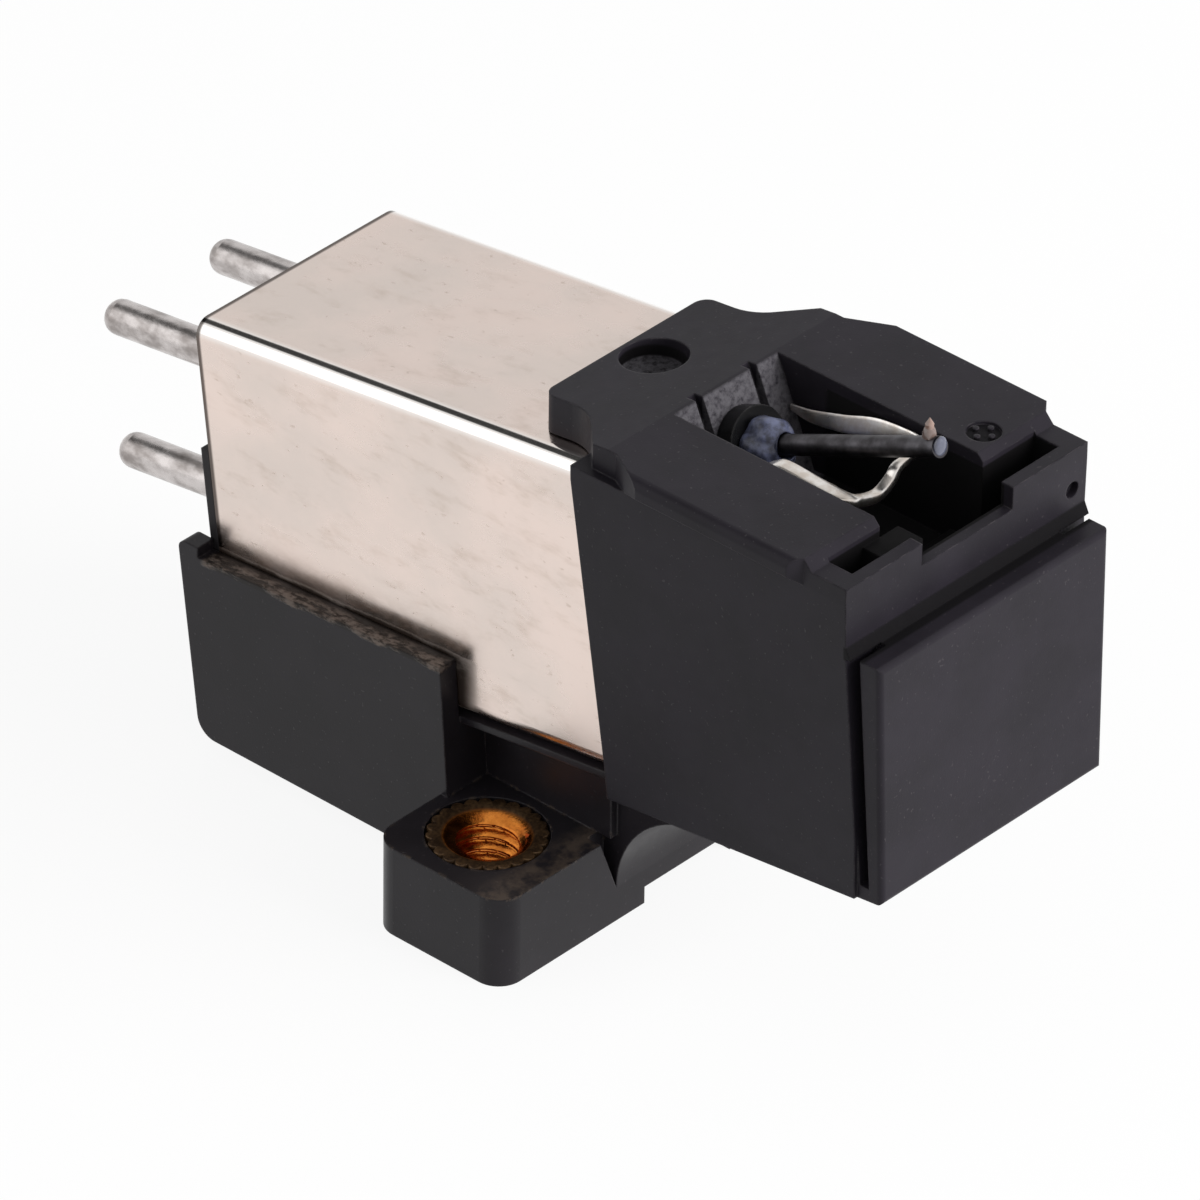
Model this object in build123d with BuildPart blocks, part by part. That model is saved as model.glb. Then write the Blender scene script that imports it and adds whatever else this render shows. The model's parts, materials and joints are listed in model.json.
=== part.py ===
"""Moving-magnet turntable cartridge with its pull-off stylus assembly, standing on its mounting ears.

+Z points from the mounting pads to the stylus, -Y to the front and +X to the side. The origin lies
midway between the two threaded holes, on the plane of the mounting pads. The shielding can, the
generator in it and the stylus assembly on it share one axis, tilted nose-up from the pads.
"""
import os
from math import cos, radians, sin, tan

from build123d import *

os.makedirs("parts", exist_ok=True)

# Mounting bracket
HOLE_SPACING = 12.7
EAR_WALL = 0.7
EAR_REAR = 2.65
EAR_FRONT = 3.15
EAR_HEIGHT = 3.46
EAR_FRONT_RADIUS = 0.95
EAR_REAR_RADIUS = 1.0
EAR_NOTCH_TOP = 0.8
EAR_NOTCH_DEPTH = 0.6
PAD_INNER = 2.1
PAD_STEP = 0.65
WEB_HALF_WIDTH = 3.82
WEB_TOP = 7.3
FLANGE_WALL = 0.25
FLANGE_FRONT = 4.1
SKIRT_WALL = 0.77
SKIRT_TOP_FRONT = 8.44
SKIRT_TOP_REAR = 7.7
SKIRT_FRONT = 2.74
SKIRT_FRONT_LEAN = 0.6
SKIRT_OVERHANG = 1.3
SKIRT_CORNER = 0.8
LUG_LENGTH = 0.9
LUG_RISE = 0.4
LUG_RADIUS = 0.3
TRAY_WALL = 1.2
NOSE_HALF_WIDTH = 3.5
NOSE_LENGTH = 4.9
NOSE_ARC = 4.0
NOSE_ARC_FOOT = 1.35
NOSE_GAP = 0.1

# Threaded inserts
INSERT_RADIUS = 2.07
INSERT_TEETH = 24
INSERT_TOOTH = 0.2
INSERT_TOOTH_WIDTH = 0.28
INSERT_CLEARANCE = 0.02
THREAD_RADIUS = 1.025
INSERT_MOUTH_RADIUS = 1.69
INSERT_MOUTH_DEPTH = 0.25
INSERT_CHAMFER = 0.4

# Shielding can, measured along its own tilted axis
CAN_TILT = 7.2
CAN_AXIS_HEIGHT = 8.0
CAN_WIDTH = 9.85
CAN_TOP = 10.03
CAN_BOTTOM = -1.4
CAN_REAR = 13.4
CAN_FRONT = -8.5
CAN_WALL = 0.3
CAN_BEND = 0.6
CAN_SEAT = 0.05
CAN_NOTCH_HALF_WIDTH = 2.75
CAN_NOTCH_DEPTH = 3.9

# Terminals
PIN_SPACING = 5.08
PIN_CENTRE = 4.77
PIN_RADIUS = 0.625
PIN_DOME = 0.5
PIN_REACH = 6.55
PIN_NECK = 0.1
PIN_SHANK_SIDE = 0.8
PIN_TAIL = 0.6
TERMINAL_DEPTH = 2.2
TERMINAL_FIT = 0.05
TERMINAL_LIP = 0.35
TERMINAL_LIP_BOTTOM = 0.4
TERMINAL_LIP_TOP = 5.2

# Generator: bobbins, windings and pole pieces
COIL_HEIGHT = 6.6
BOBBIN_HEIGHT = 4.0
BOBBIN_GAP = 0.3
BOBBIN_CORNER = 0.5
BOBBIN_FRONT = 1.0
BOBBIN_LENGTH = 7.0
BOBBIN_FLANGE = 0.5
BOBBIN_CORE = 1.8
WINDING_INSET = 0.15
WINDING_RADIUS = 0.9
POLE_SIDE = 1.0
POLE_FIT = 0.05
POLE_TAIL = 1.0
POLE_BEND_START = 0.8
POLE_BEND_END = 3.4
POLE_TIP_INNER = 0.8
POLE_TIP_WALL = 0.6
POLE_TIP_FRONT = -5.0
POLE_TIP_TOP = 9.2
YOKE_DEPTH = 0.7
CARRIER_FIT = 0.05
CARRIER_WALL = 1.0

# Stylus holder
PLATE_TOP = 20.1
PLATE_HALF_WIDTH = 6.3
PLATE_SHOULDER = 6.2
PLATE_FRONT = 13.0
PLATE_EDGE = 0.35
PLATE_CORNER = 0.35
PLATE_SIDE = 0.65
PLATE_FLARE = 0.35
PLAN_LENGTH = 30.0
BLOCK_HALF_WIDTH = 5.85
BLOCK_FOOT_HALF_WIDTH = 5.54
BLOCK_FOOT = 8.0
BLOCK_REAR = 4.3
BLOCK_BOTTOM_WALL = 0.5
HOLDER_FIT = 0.05
TONGUE_HALF_WIDTH = 3.9
TONGUE_CORNER = 0.5
TONGUE_STRAIGHT = 1.3
TONGUE_FLARE_X = 4.35
TONGUE_FLARE_Y = 2.5
TONGUE_DROP = 0.5
TONGUE_HOLE_Y = 1.33
TONGUE_HOLE_RADIUS = 1.17
TONGUE_HOLE_DEPTH = 1.2
SHOULDER_HALF_WIDTH = 5.5
SHOULDER_Y = 3.65
STRIP_DROP = 0.38
STRIP_RUN = 0.35
STRIP_FRONT = 14.8
WALL_FOOT_RISE = 0.4
WALL_FOOT_RUN = 0.2
LEDGE_HEIGHT = 17.07
GRIP_HALF_WIDTH = 5.57
GRIP_FRONT_TOP = 16.05
GRIP_FRONT_FOOT = 16.25
GRIP_FOOT_HALF_WIDTH = 5.4
GRIP_FOOT = 7.94
GRIP_CORNER = 0.2
GROOVE_WIDTH = 0.4
GROOVE_LEAN = 0.5
GROOVE_DEPTH = 1.25
GROOVE_FOOT = 0.4
WINDOW_HALF_WIDTH = 2.5
WINDOW_REAR = 4.45
WINDOW_FRONT = 12.0
WINDOW_FLOOR = 16.3
CROSS_SLOT_HALF_WIDTH = 5.0
CROSS_SLOT_REAR = 13.25
CROSS_SLOT_FRONT = 14.3
CROSS_SLOT_DEPTH = 3.4
SLOT_POST_X = 2.45
SLOT_POST_WIDTH = 1.7
SLOT_POST_DROP = 0.32
NOTCH_HALF_WIDTH = 2.2
NOTCH_DEPTH = 0.85
RAMP_SLOT_X = 1.3
RAMP_SLOT_WIDTH = 0.35
RAMP_SLOT_DEPTH = 0.35
RAMP_SLOT_LENGTH = 1.9
MARK_X = 3.57
MARK_Y = 12.35
MARK_RADIUS = 0.6
MARK_DEPTH = 0.12
MARK_DOTS = 4
MARK_DOT_CIRCLE = 0.34
MARK_DOT_RADIUS = 0.11
DIMPLE_X = 5.15
DIMPLE_HEIGHT = 18.2
DIMPLE_RADIUS = 0.3
DIMPLE_DEPTH = 0.3
PLUG_HALF_WIDTH = 2.6
PLUG_BOTTOM = 6.6
PLUG_REAR = -5.5

# Cantilever and its suspension, measured along the cantilever's axis from the pivot
PIVOT_Y = -6.6
PIVOT_DROP = 1.4
CANTILEVER_RISE = 23.9
CANTILEVER_REACH = 7.6
CANTILEVER_TAIL = 2.8
CANTILEVER_RADIUS = 0.36
CANTILEVER_BORE = 0.2
DAMPER_RADIUS = 1.15
DAMPER_HALF_LENGTH = 0.6
DAMPER_ROUND = 0.4
DAMPER_CLEARANCE = 0.07
DAMPER_GAP = 0.1
COLLAR_RADIUS = 1.3
SLEEVE_RADIUS = 1.0
SLEEVE_BORE = 0.7
SLEEVE_LENGTH = 1.2
SLEEVE_FIT = 0.02
MAGNET_RADIUS = 0.4
MAGNET_LENGTH = 2.4
WIRE_RADIUS = 0.08
WIRE_LENGTH = 2.6
STYLUS_BACK = 0.5
STYLUS_RADIUS = 0.15
STYLUS_SHANK = 0.42
STYLUS_CONE = 0.25

# Retaining clip
CLIP_ARM_X = 1.85
CLIP_ARM_WIDTH = 0.5
CLIP_GAUGE = 0.15
CLIP_KNEE_RUN = 1.1
CLIP_KNEE_DROP = 1.2
CLIP_HEEL_DROP = 1.5
CLIP_FRONT_Y = -11.1
CLIP_FRONT_DROP = 0.2
CLIP_BAR_WIDTH = 0.35
CLIP_DIP = 0.8
CLIP_DIP_HALF_WIDTH = 1.3
CLIP_DIP_X = -0.25
CLIP_DIP_RADIUS = 0.3

# Worked-out places
tilt_sin = sin(radians(CAN_TILT))
tilt_cos = cos(radians(CAN_TILT))
can_origin = (0, 0, CAN_AXIS_HEIGHT)
can_plan = Plane(origin=can_origin, x_dir=(1, 0, 0), z_dir=(0, tilt_sin, tilt_cos))
can_side = Plane(origin=can_origin, x_dir=(0, tilt_cos, -tilt_sin), z_dir=(1, 0, 0))
can_section = Plane(origin=can_origin, x_dir=(1, 0, 0), z_dir=(0, -tilt_cos, tilt_sin))
can_half_width = CAN_WIDTH / 2
can_middle = (CAN_TOP + CAN_BOTTOM) / 2
can_height = CAN_TOP - CAN_BOTTOM
saddle_floor = CAN_BOTTOM - CAN_SEAT
skirt_inner = can_half_width + CAN_SEAT
skirt_outer = skirt_inner + SKIRT_WALL

rise_sin = sin(radians(CANTILEVER_RISE))
rise_cos = cos(radians(CANTILEVER_RISE))
pivot_z = PLATE_TOP - PIVOT_DROP
pivot = (0, PIVOT_Y, pivot_z)
# Local z of this plane runs along the cantilever, from its magnet to its tip
cantilever_plane = Plane(origin=pivot, x_dir=(1, 0, 0), z_dir=(0, -rise_cos, rise_sin))


def tilted(along: float, height: float) -> tuple:
    """Y and Z of a point given along the can's axis, rearwards, and above its datum."""
    return (along * tilt_cos + height * tilt_sin, CAN_AXIS_HEIGHT - along * tilt_sin + height * tilt_cos)


def level_z(y: float, height: float) -> float:
    """Z at a place along Y of the plane that lies at a height above the can's datum."""
    return CAN_AXIS_HEIGHT + height / tilt_cos - y * tilt_sin / tilt_cos


def ramp_y(height: float) -> float:
    """Y of the window's rear ramp, which stands square to the cantilever, at a height."""
    return -WINDOW_REAR - (PLATE_TOP - height) * tan(radians(CANTILEVER_RISE))


# Mounting bracket: ears and pads, saddle under the can, skirts beside it, tray and nose
ear_half_width = HOLE_SPACING / 2 + INSERT_RADIUS + EAR_WALL
lug_top = SKIRT_TOP_REAR + LUG_RISE
skirt_rear = tilted(CAN_REAR + SKIRT_OVERHANG, lug_top - CAN_AXIS_HEIGHT)[0]
skirt_rear_lean = (lug_top - PAD_STEP) * tilt_sin / tilt_cos
nose_top = CAN_BOTTOM - HOLDER_FIT - BLOCK_BOTTOM_WALL - NOSE_GAP
nose_tip = -EAR_FRONT - NOSE_LENGTH
arc_top = (-EAR_FRONT - NOSE_ARC, NOSE_ARC_FOOT + NOSE_ARC)
tray_under = saddle_floor - TRAY_WALL
flange_under = saddle_floor - FLANGE_WALL
tray_end = 2 * CAN_REAR
with BuildPart() as mounting_bracket:
    with BuildSketch():
        with BuildLine():
            Polyline(
                (-ear_half_width, -EAR_FRONT),
                (ear_half_width, -EAR_FRONT),
                (ear_half_width, EAR_REAR),
                (-ear_half_width, EAR_REAR),
                close=True,
            )
        make_face()
        fillet(vertices().group_by(Axis.Y)[0], EAR_FRONT_RADIUS)
        fillet(vertices().group_by(Axis.Y)[-1], EAR_REAR_RADIUS)
    extrude(amount=EAR_HEIGHT)
    # Web between the ears and the tray's flanges on it, under the can
    with BuildSketch(Plane.XY.offset(PAD_STEP)):
        with Locations((0, (EAR_REAR - EAR_FRONT) / 2)):
            Rectangle(2 * WEB_HALF_WIDTH, EAR_REAR + EAR_FRONT)
    extrude(amount=WEB_TOP - PAD_STEP)
    with BuildSketch(Plane.YZ):
        with BuildLine():
            Polyline(
                (SKIRT_FRONT, level_z(SKIRT_FRONT, saddle_floor)),
                (SKIRT_FRONT, level_z(SKIRT_FRONT, flange_under)),
                (-FLANGE_FRONT, level_z(-FLANGE_FRONT, flange_under)),
                (-FLANGE_FRONT, level_z(-FLANGE_FRONT, saddle_floor)),
                close=True,
            )
        make_face()
    extrude(amount=can_half_width, both=True)
    # Skirts beside the can, with a low round lug at the heel
    with BuildSketch(Plane.YZ):
        with BuildLine():
            Polyline(
                (SKIRT_FRONT, SKIRT_TOP_FRONT),
                (skirt_rear - LUG_LENGTH, SKIRT_TOP_REAR),
                (skirt_rear - LUG_LENGTH, lug_top),
                (skirt_rear, lug_top),
                (skirt_rear - skirt_rear_lean, PAD_STEP),
                (SKIRT_FRONT - SKIRT_FRONT_LEAN, PAD_STEP),
                close=True,
            )
        make_face()
        fillet(vertices().group_by(Axis.Y)[0].sort_by(Axis.X)[-1], SKIRT_CORNER)
        fillet(vertices().sort_by(Axis.X)[-2:], LUG_RADIUS)
    extrude(amount=skirt_outer, both=True)
    with BuildSketch(Plane.YZ):
        with BuildLine():
            RadiusArc((-EAR_FRONT, NOSE_ARC_FOOT), arc_top, -NOSE_ARC)
            Polyline(
                arc_top,
                (nose_tip, arc_top[1]),
                (nose_tip, level_z(nose_tip, nose_top)),
                (-EAR_FRONT, level_z(-EAR_FRONT, nose_top)),
                (-EAR_FRONT, NOSE_ARC_FOOT),
            )
        make_face()
    extrude(amount=NOSE_HALF_WIDTH, both=True)
    # Notch in the front of each ear, beside the web of the nose
    with BuildSketch(Plane.XZ.offset(EAR_FRONT - EAR_NOTCH_DEPTH)):
        for side in (-1, 1):
            with BuildLine():
                Polyline(
                    (side * NOSE_HALF_WIDTH, NOSE_ARC_FOOT),
                    (side * (NOSE_HALF_WIDTH + EAR_NOTCH_TOP), EAR_HEIGHT),
                    (side * NOSE_HALF_WIDTH, EAR_HEIGHT),
                    close=True,
                )
            make_face()
    extrude(amount=EAR_NOTCH_DEPTH, mode=Mode.SUBTRACT)
    # Channel for the can, then the open space under the tray that carries it
    with BuildSketch(can_side):
        with Locations((0, saddle_floor)):
            Rectangle(2 * tray_end, can_height, align=(Align.CENTER, Align.MIN))
    extrude(amount=skirt_inner, both=True, mode=Mode.SUBTRACT)
    with BuildSketch(Plane.YZ):
        with BuildLine():
            Polyline(
                (EAR_REAR, -PAD_STEP),
                (tray_end, -PAD_STEP),
                (tray_end, level_z(tray_end, tray_under)),
                (EAR_REAR, level_z(EAR_REAR, tray_under)),
                close=True,
            )
        make_face()
    extrude(amount=skirt_inner, both=True, mode=Mode.SUBTRACT)
    # The middle of the underside stands clear of the pads
    with BuildSketch():
        with Locations((0, (EAR_REAR - EAR_FRONT) / 2)):
            Rectangle(2 * PAD_INNER, 2 * (EAR_REAR + EAR_FRONT))
    extrude(amount=PAD_STEP, mode=Mode.SUBTRACT)
    with BuildSketch():
        with GridLocations(HOLE_SPACING, 0, 2, 1):
            Circle(INSERT_RADIUS + INSERT_CLEARANCE)
    extrude(amount=EAR_HEIGHT, mode=Mode.SUBTRACT)
mounting_bracket.part.label = "mounting_bracket"
export_step(mounting_bracket.part, "parts/mounting_bracket.step")

# Knurled brass inserts pressed into the ears
insert_mouth_foot = EAR_HEIGHT - INSERT_MOUTH_DEPTH
for side, name in ((-1, "threaded_insert_left"), (1, "threaded_insert_right")):
    with BuildPart() as threaded_insert:
        with BuildSketch(Plane.XY.move(Location((side * HOLE_SPACING / 2, 0, 0)))):
            Circle(INSERT_RADIUS - INSERT_TOOTH)
            with PolarLocations(INSERT_RADIUS - INSERT_TOOTH, INSERT_TEETH):
                Rectangle(2 * INSERT_TOOTH, INSERT_TOOTH_WIDTH)
            Circle(THREAD_RADIUS, mode=Mode.SUBTRACT)
        extrude(amount=EAR_HEIGHT)
        bore_rims = threaded_insert.edges().filter_by(GeomType.CIRCLE).filter_by(
            lambda edge: edge.radius < THREAD_RADIUS + INSERT_TOOTH
        )
        chamfer(bore_rims.sort_by(Axis.Z)[0], INSERT_CHAMFER)
        with BuildSketch(Plane.XY.move(Location((side * HOLE_SPACING / 2, 0, EAR_HEIGHT)))):
            Circle(INSERT_MOUTH_RADIUS)
        with BuildSketch(Plane.XY.move(Location((side * HOLE_SPACING / 2, 0, insert_mouth_foot)))):
            Circle(THREAD_RADIUS)
        loft(mode=Mode.SUBTRACT)
    threaded_insert.part.label = name
    export_step(threaded_insert.part, f"parts/{name}.step")

# Shielding can: a folded sheet tube, open at both ends, notched at the front for the stylus plug
with BuildPart() as shield_can:
    with BuildSketch(can_section.offset(-CAN_REAR)):
        with Locations((0, can_middle)):
            RectangleRounded(CAN_WIDTH, can_height, CAN_BEND)
            RectangleRounded(
                CAN_WIDTH - 2 * CAN_WALL, can_height - 2 * CAN_WALL, CAN_BEND - CAN_WALL, mode=Mode.SUBTRACT
            )
    extrude(amount=CAN_REAR - CAN_FRONT)
    with BuildSketch(can_plan.offset(CAN_TOP - CAN_WALL)):
        with Locations((0, CAN_FRONT)):
            Rectangle(2 * CAN_NOTCH_HALF_WIDTH, 2 * CAN_NOTCH_DEPTH)
    extrude(amount=CAN_WALL, mode=Mode.SUBTRACT)
shield_can.part.label = "shield_can"
export_step(shield_can.part, "parts/shield_can.step")

# Terminal block that closes the rear of the can, with a lip over its lower edge
pin_places = [(x, PIN_CENTRE + y) for x in (-PIN_SPACING / 2, PIN_SPACING / 2)
              for y in (-PIN_SPACING / 2, PIN_SPACING / 2)]
inner_half_width = can_half_width - CAN_WALL
with BuildPart() as terminal_block:
    with BuildSketch(can_section.offset(-CAN_REAR)):
        with Locations((0, can_middle)):
            RectangleRounded(
                2 * (inner_half_width - TERMINAL_FIT), can_height - 2 * CAN_WALL - 2 * TERMINAL_FIT,
                CAN_BEND - CAN_WALL,
            )
    extrude(amount=TERMINAL_DEPTH)
    with BuildSketch(can_section.offset(-CAN_REAR)):
        with Locations((0, (TERMINAL_LIP_BOTTOM + TERMINAL_LIP_TOP) / 2)):
            Rectangle(CAN_WIDTH, TERMINAL_LIP_TOP - TERMINAL_LIP_BOTTOM)
    extrude(amount=-TERMINAL_LIP)
    with BuildSketch(can_section.offset(-CAN_REAR - TERMINAL_LIP)):
        with Locations(*pin_places):
            Rectangle(PIN_SHANK_SIDE, PIN_SHANK_SIDE)
    extrude(amount=TERMINAL_LIP + TERMINAL_DEPTH, mode=Mode.SUBTRACT)
terminal_block.part.label = "terminal_block"
export_step(terminal_block.part, "parts/terminal_block.step")

# Terminal pins with domed ends, on square shanks that are moulded into the block
pin_start = CAN_REAR + TERMINAL_LIP + PIN_NECK
pin_names = ("pin_left_lower", "pin_left_upper", "pin_right_lower", "pin_right_upper")
for (pin_x, pin_height), name in zip(pin_places, pin_names):
    with BuildPart() as terminal_pin:
        with BuildSketch(can_section.offset(-CAN_REAR - PIN_REACH)):
            with Locations((pin_x, pin_height)):
                Circle(PIN_RADIUS)
        extrude(amount=PIN_REACH - TERMINAL_LIP - PIN_NECK)
        fillet(terminal_pin.edges().group_by(Axis.Y)[-1], PIN_DOME)
        with BuildSketch(can_section.offset(-pin_start)):
            with Locations((pin_x, pin_height)):
                Rectangle(PIN_SHANK_SIDE, PIN_SHANK_SIDE)
        extrude(amount=pin_start - CAN_REAR + TERMINAL_DEPTH + PIN_TAIL)
    terminal_pin.part.label = name
    export_step(terminal_pin.part, f"parts/{name}.step")

# Generator: a carrier on the floor of the can holds two bobbins side by side
bobbin_width = inner_half_width - BOBBIN_GAP - BOBBIN_GAP / 2
coil_x = (BOBBIN_GAP + bobbin_width) / 2
bobbin_seat = COIL_HEIGHT - BOBBIN_HEIGHT / 2
can_floor = CAN_BOTTOM + CAN_WALL
bobbin_rear = BOBBIN_FRONT + BOBBIN_LENGTH
with BuildPart() as coil_carrier:
    with BuildSketch(can_section.offset(-bobbin_rear)):
        with Locations((0, (can_floor + bobbin_seat) / 2)):
            RectangleRounded(
                2 * (inner_half_width - CARRIER_FIT), bobbin_seat - can_floor, CAN_BEND - CAN_WALL
            )
            Rectangle(
                2 * (inner_half_width - CARRIER_WALL), bobbin_seat - can_floor - 2 * CARRIER_WALL,
                mode=Mode.SUBTRACT,
            )
    extrude(amount=BOBBIN_LENGTH)
coil_carrier.part.label = "coil_carrier"
export_step(coil_carrier.part, "parts/coil_carrier.step")

bobbin_hole = POLE_SIDE + 2 * POLE_FIT
winding_length = BOBBIN_LENGTH - 2 * BOBBIN_FLANGE
pole_bottom = COIL_HEIGHT - POLE_SIDE / 2
pole_tail = bobbin_rear + POLE_TAIL
pole_tip_outer = POLE_TIP_INNER + POLE_TIP_WALL
pole_inner = coil_x - POLE_SIDE / 2
pole_outer = coil_x + POLE_SIDE / 2
pole_bend_start = BOBBIN_FRONT - POLE_BEND_START
pole_bend_end = BOBBIN_FRONT - POLE_BEND_END
for side, hand in ((-1, "left"), (1, "right")):
    coil_centre = (side * coil_x, COIL_HEIGHT)
    with BuildPart() as bobbin:
        for flange_rear in (bobbin_rear, BOBBIN_FRONT + BOBBIN_FLANGE):
            with BuildSketch(can_section.offset(-flange_rear)):
                with Locations(coil_centre):
                    Rectangle(bobbin_width, BOBBIN_HEIGHT)
                chamfer(vertices(), BOBBIN_CORNER)
            extrude(amount=BOBBIN_FLANGE)
        with BuildSketch(can_section.offset(-bobbin_rear)):
            with Locations(coil_centre):
                Rectangle(BOBBIN_CORE, BOBBIN_CORE)
        extrude(amount=BOBBIN_LENGTH)
        with BuildSketch(can_section.offset(-bobbin_rear)):
            with Locations(coil_centre):
                Rectangle(bobbin_hole, bobbin_hole)
        extrude(amount=BOBBIN_LENGTH, mode=Mode.SUBTRACT)
    bobbin.part.label = f"bobbin_{hand}"
    export_step(bobbin.part, f"parts/bobbin_{hand}.step")

    with BuildPart() as winding:
        with BuildSketch(can_section.offset(BOBBIN_FLANGE - bobbin_rear)):
            with Locations(coil_centre):
                RectangleRounded(
                    bobbin_width - 2 * WINDING_INSET, BOBBIN_HEIGHT - 2 * WINDING_INSET, WINDING_RADIUS
                )
                Rectangle(BOBBIN_CORE, BOBBIN_CORE, mode=Mode.SUBTRACT)
        extrude(amount=winding_length)
    winding.part.label = f"coil_winding_{hand}"
    export_step(winding.part, f"parts/coil_winding_{hand}.step")

    # The pole runs through its bobbin, bends inwards and ends in a tall tip beside the magnet
    with BuildPart() as pole_piece:
        with BuildSketch(can_plan.offset(pole_bottom)):
            with BuildLine():
                Polyline(
                    (side * pole_inner, pole_tail),
                    (side * pole_outer, pole_tail),
                    (side * pole_outer, pole_bend_start),
                    (side * pole_tip_outer, pole_bend_end),
                    (side * pole_tip_outer, POLE_TIP_FRONT),
                    (side * POLE_TIP_INNER, POLE_TIP_FRONT),
                    (side * POLE_TIP_INNER, pole_bend_end),
                    (side * pole_inner, pole_bend_start),
                    close=True,
                )
            make_face()
        extrude(amount=POLE_SIDE)
        with BuildSketch(can_plan.offset(pole_bottom)):
            with Locations((side * (POLE_TIP_INNER + pole_tip_outer) / 2, POLE_TIP_FRONT)):
                Rectangle(POLE_TIP_WALL, pole_bend_end - POLE_TIP_FRONT, align=(Align.CENTER, Align.MIN))
        extrude(amount=POLE_TIP_TOP - pole_bottom)
    pole_piece.part.label = f"pole_piece_{hand}"
    export_step(pole_piece.part, f"parts/pole_piece_{hand}.step")

with BuildPart() as core_yoke:
    with BuildSketch(can_plan.offset(pole_bottom)):
        with Locations((0, pole_tail + YOKE_DEPTH / 2)):
            Rectangle(2 * pole_outer, YOKE_DEPTH)
    extrude(amount=POLE_SIDE)
core_yoke.part.label = "core_yoke"
export_step(core_yoke.part, "parts/core_yoke.step")

# Stylus holder: side profile of tongue, plate, block and grip, trimmed to the plan of the top
tongue_under = CAN_TOP + HOLDER_FIT
block_rear_top = tilted(-BLOCK_REAR, tongue_under)
block_rear_foot = tilted(-BLOCK_REAR, CAN_BOTTOM - HOLDER_FIT - BLOCK_BOTTOM_WALL)
tongue_foot_z = level_z(0, tongue_under)
strip_top = PLATE_TOP - STRIP_DROP
plug_length = PLUG_REAR - CAN_FRONT + HOLDER_FIT
notch_length = STRIP_FRONT - CROSS_SLOT_FRONT
window_clear = PLATE_TOP + CROSS_SLOT_DEPTH
ramp_along = (WINDOW_REAR + PIVOT_Y) * rise_cos + PIVOT_DROP * rise_sin
groove_front = STRIP_FRONT + GROOVE_WIDTH
grip_draft = (GRIP_HALF_WIDTH - GRIP_FOOT_HALF_WIDTH) / (LEDGE_HEIGHT - GRIP_FOOT)
grip_datum_half_width = GRIP_FOOT_HALF_WIDTH - GRIP_FOOT * grip_draft
flare_top = PLATE_TOP - PLATE_SIDE
flare_foot = flare_top - PLATE_FLARE
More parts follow.
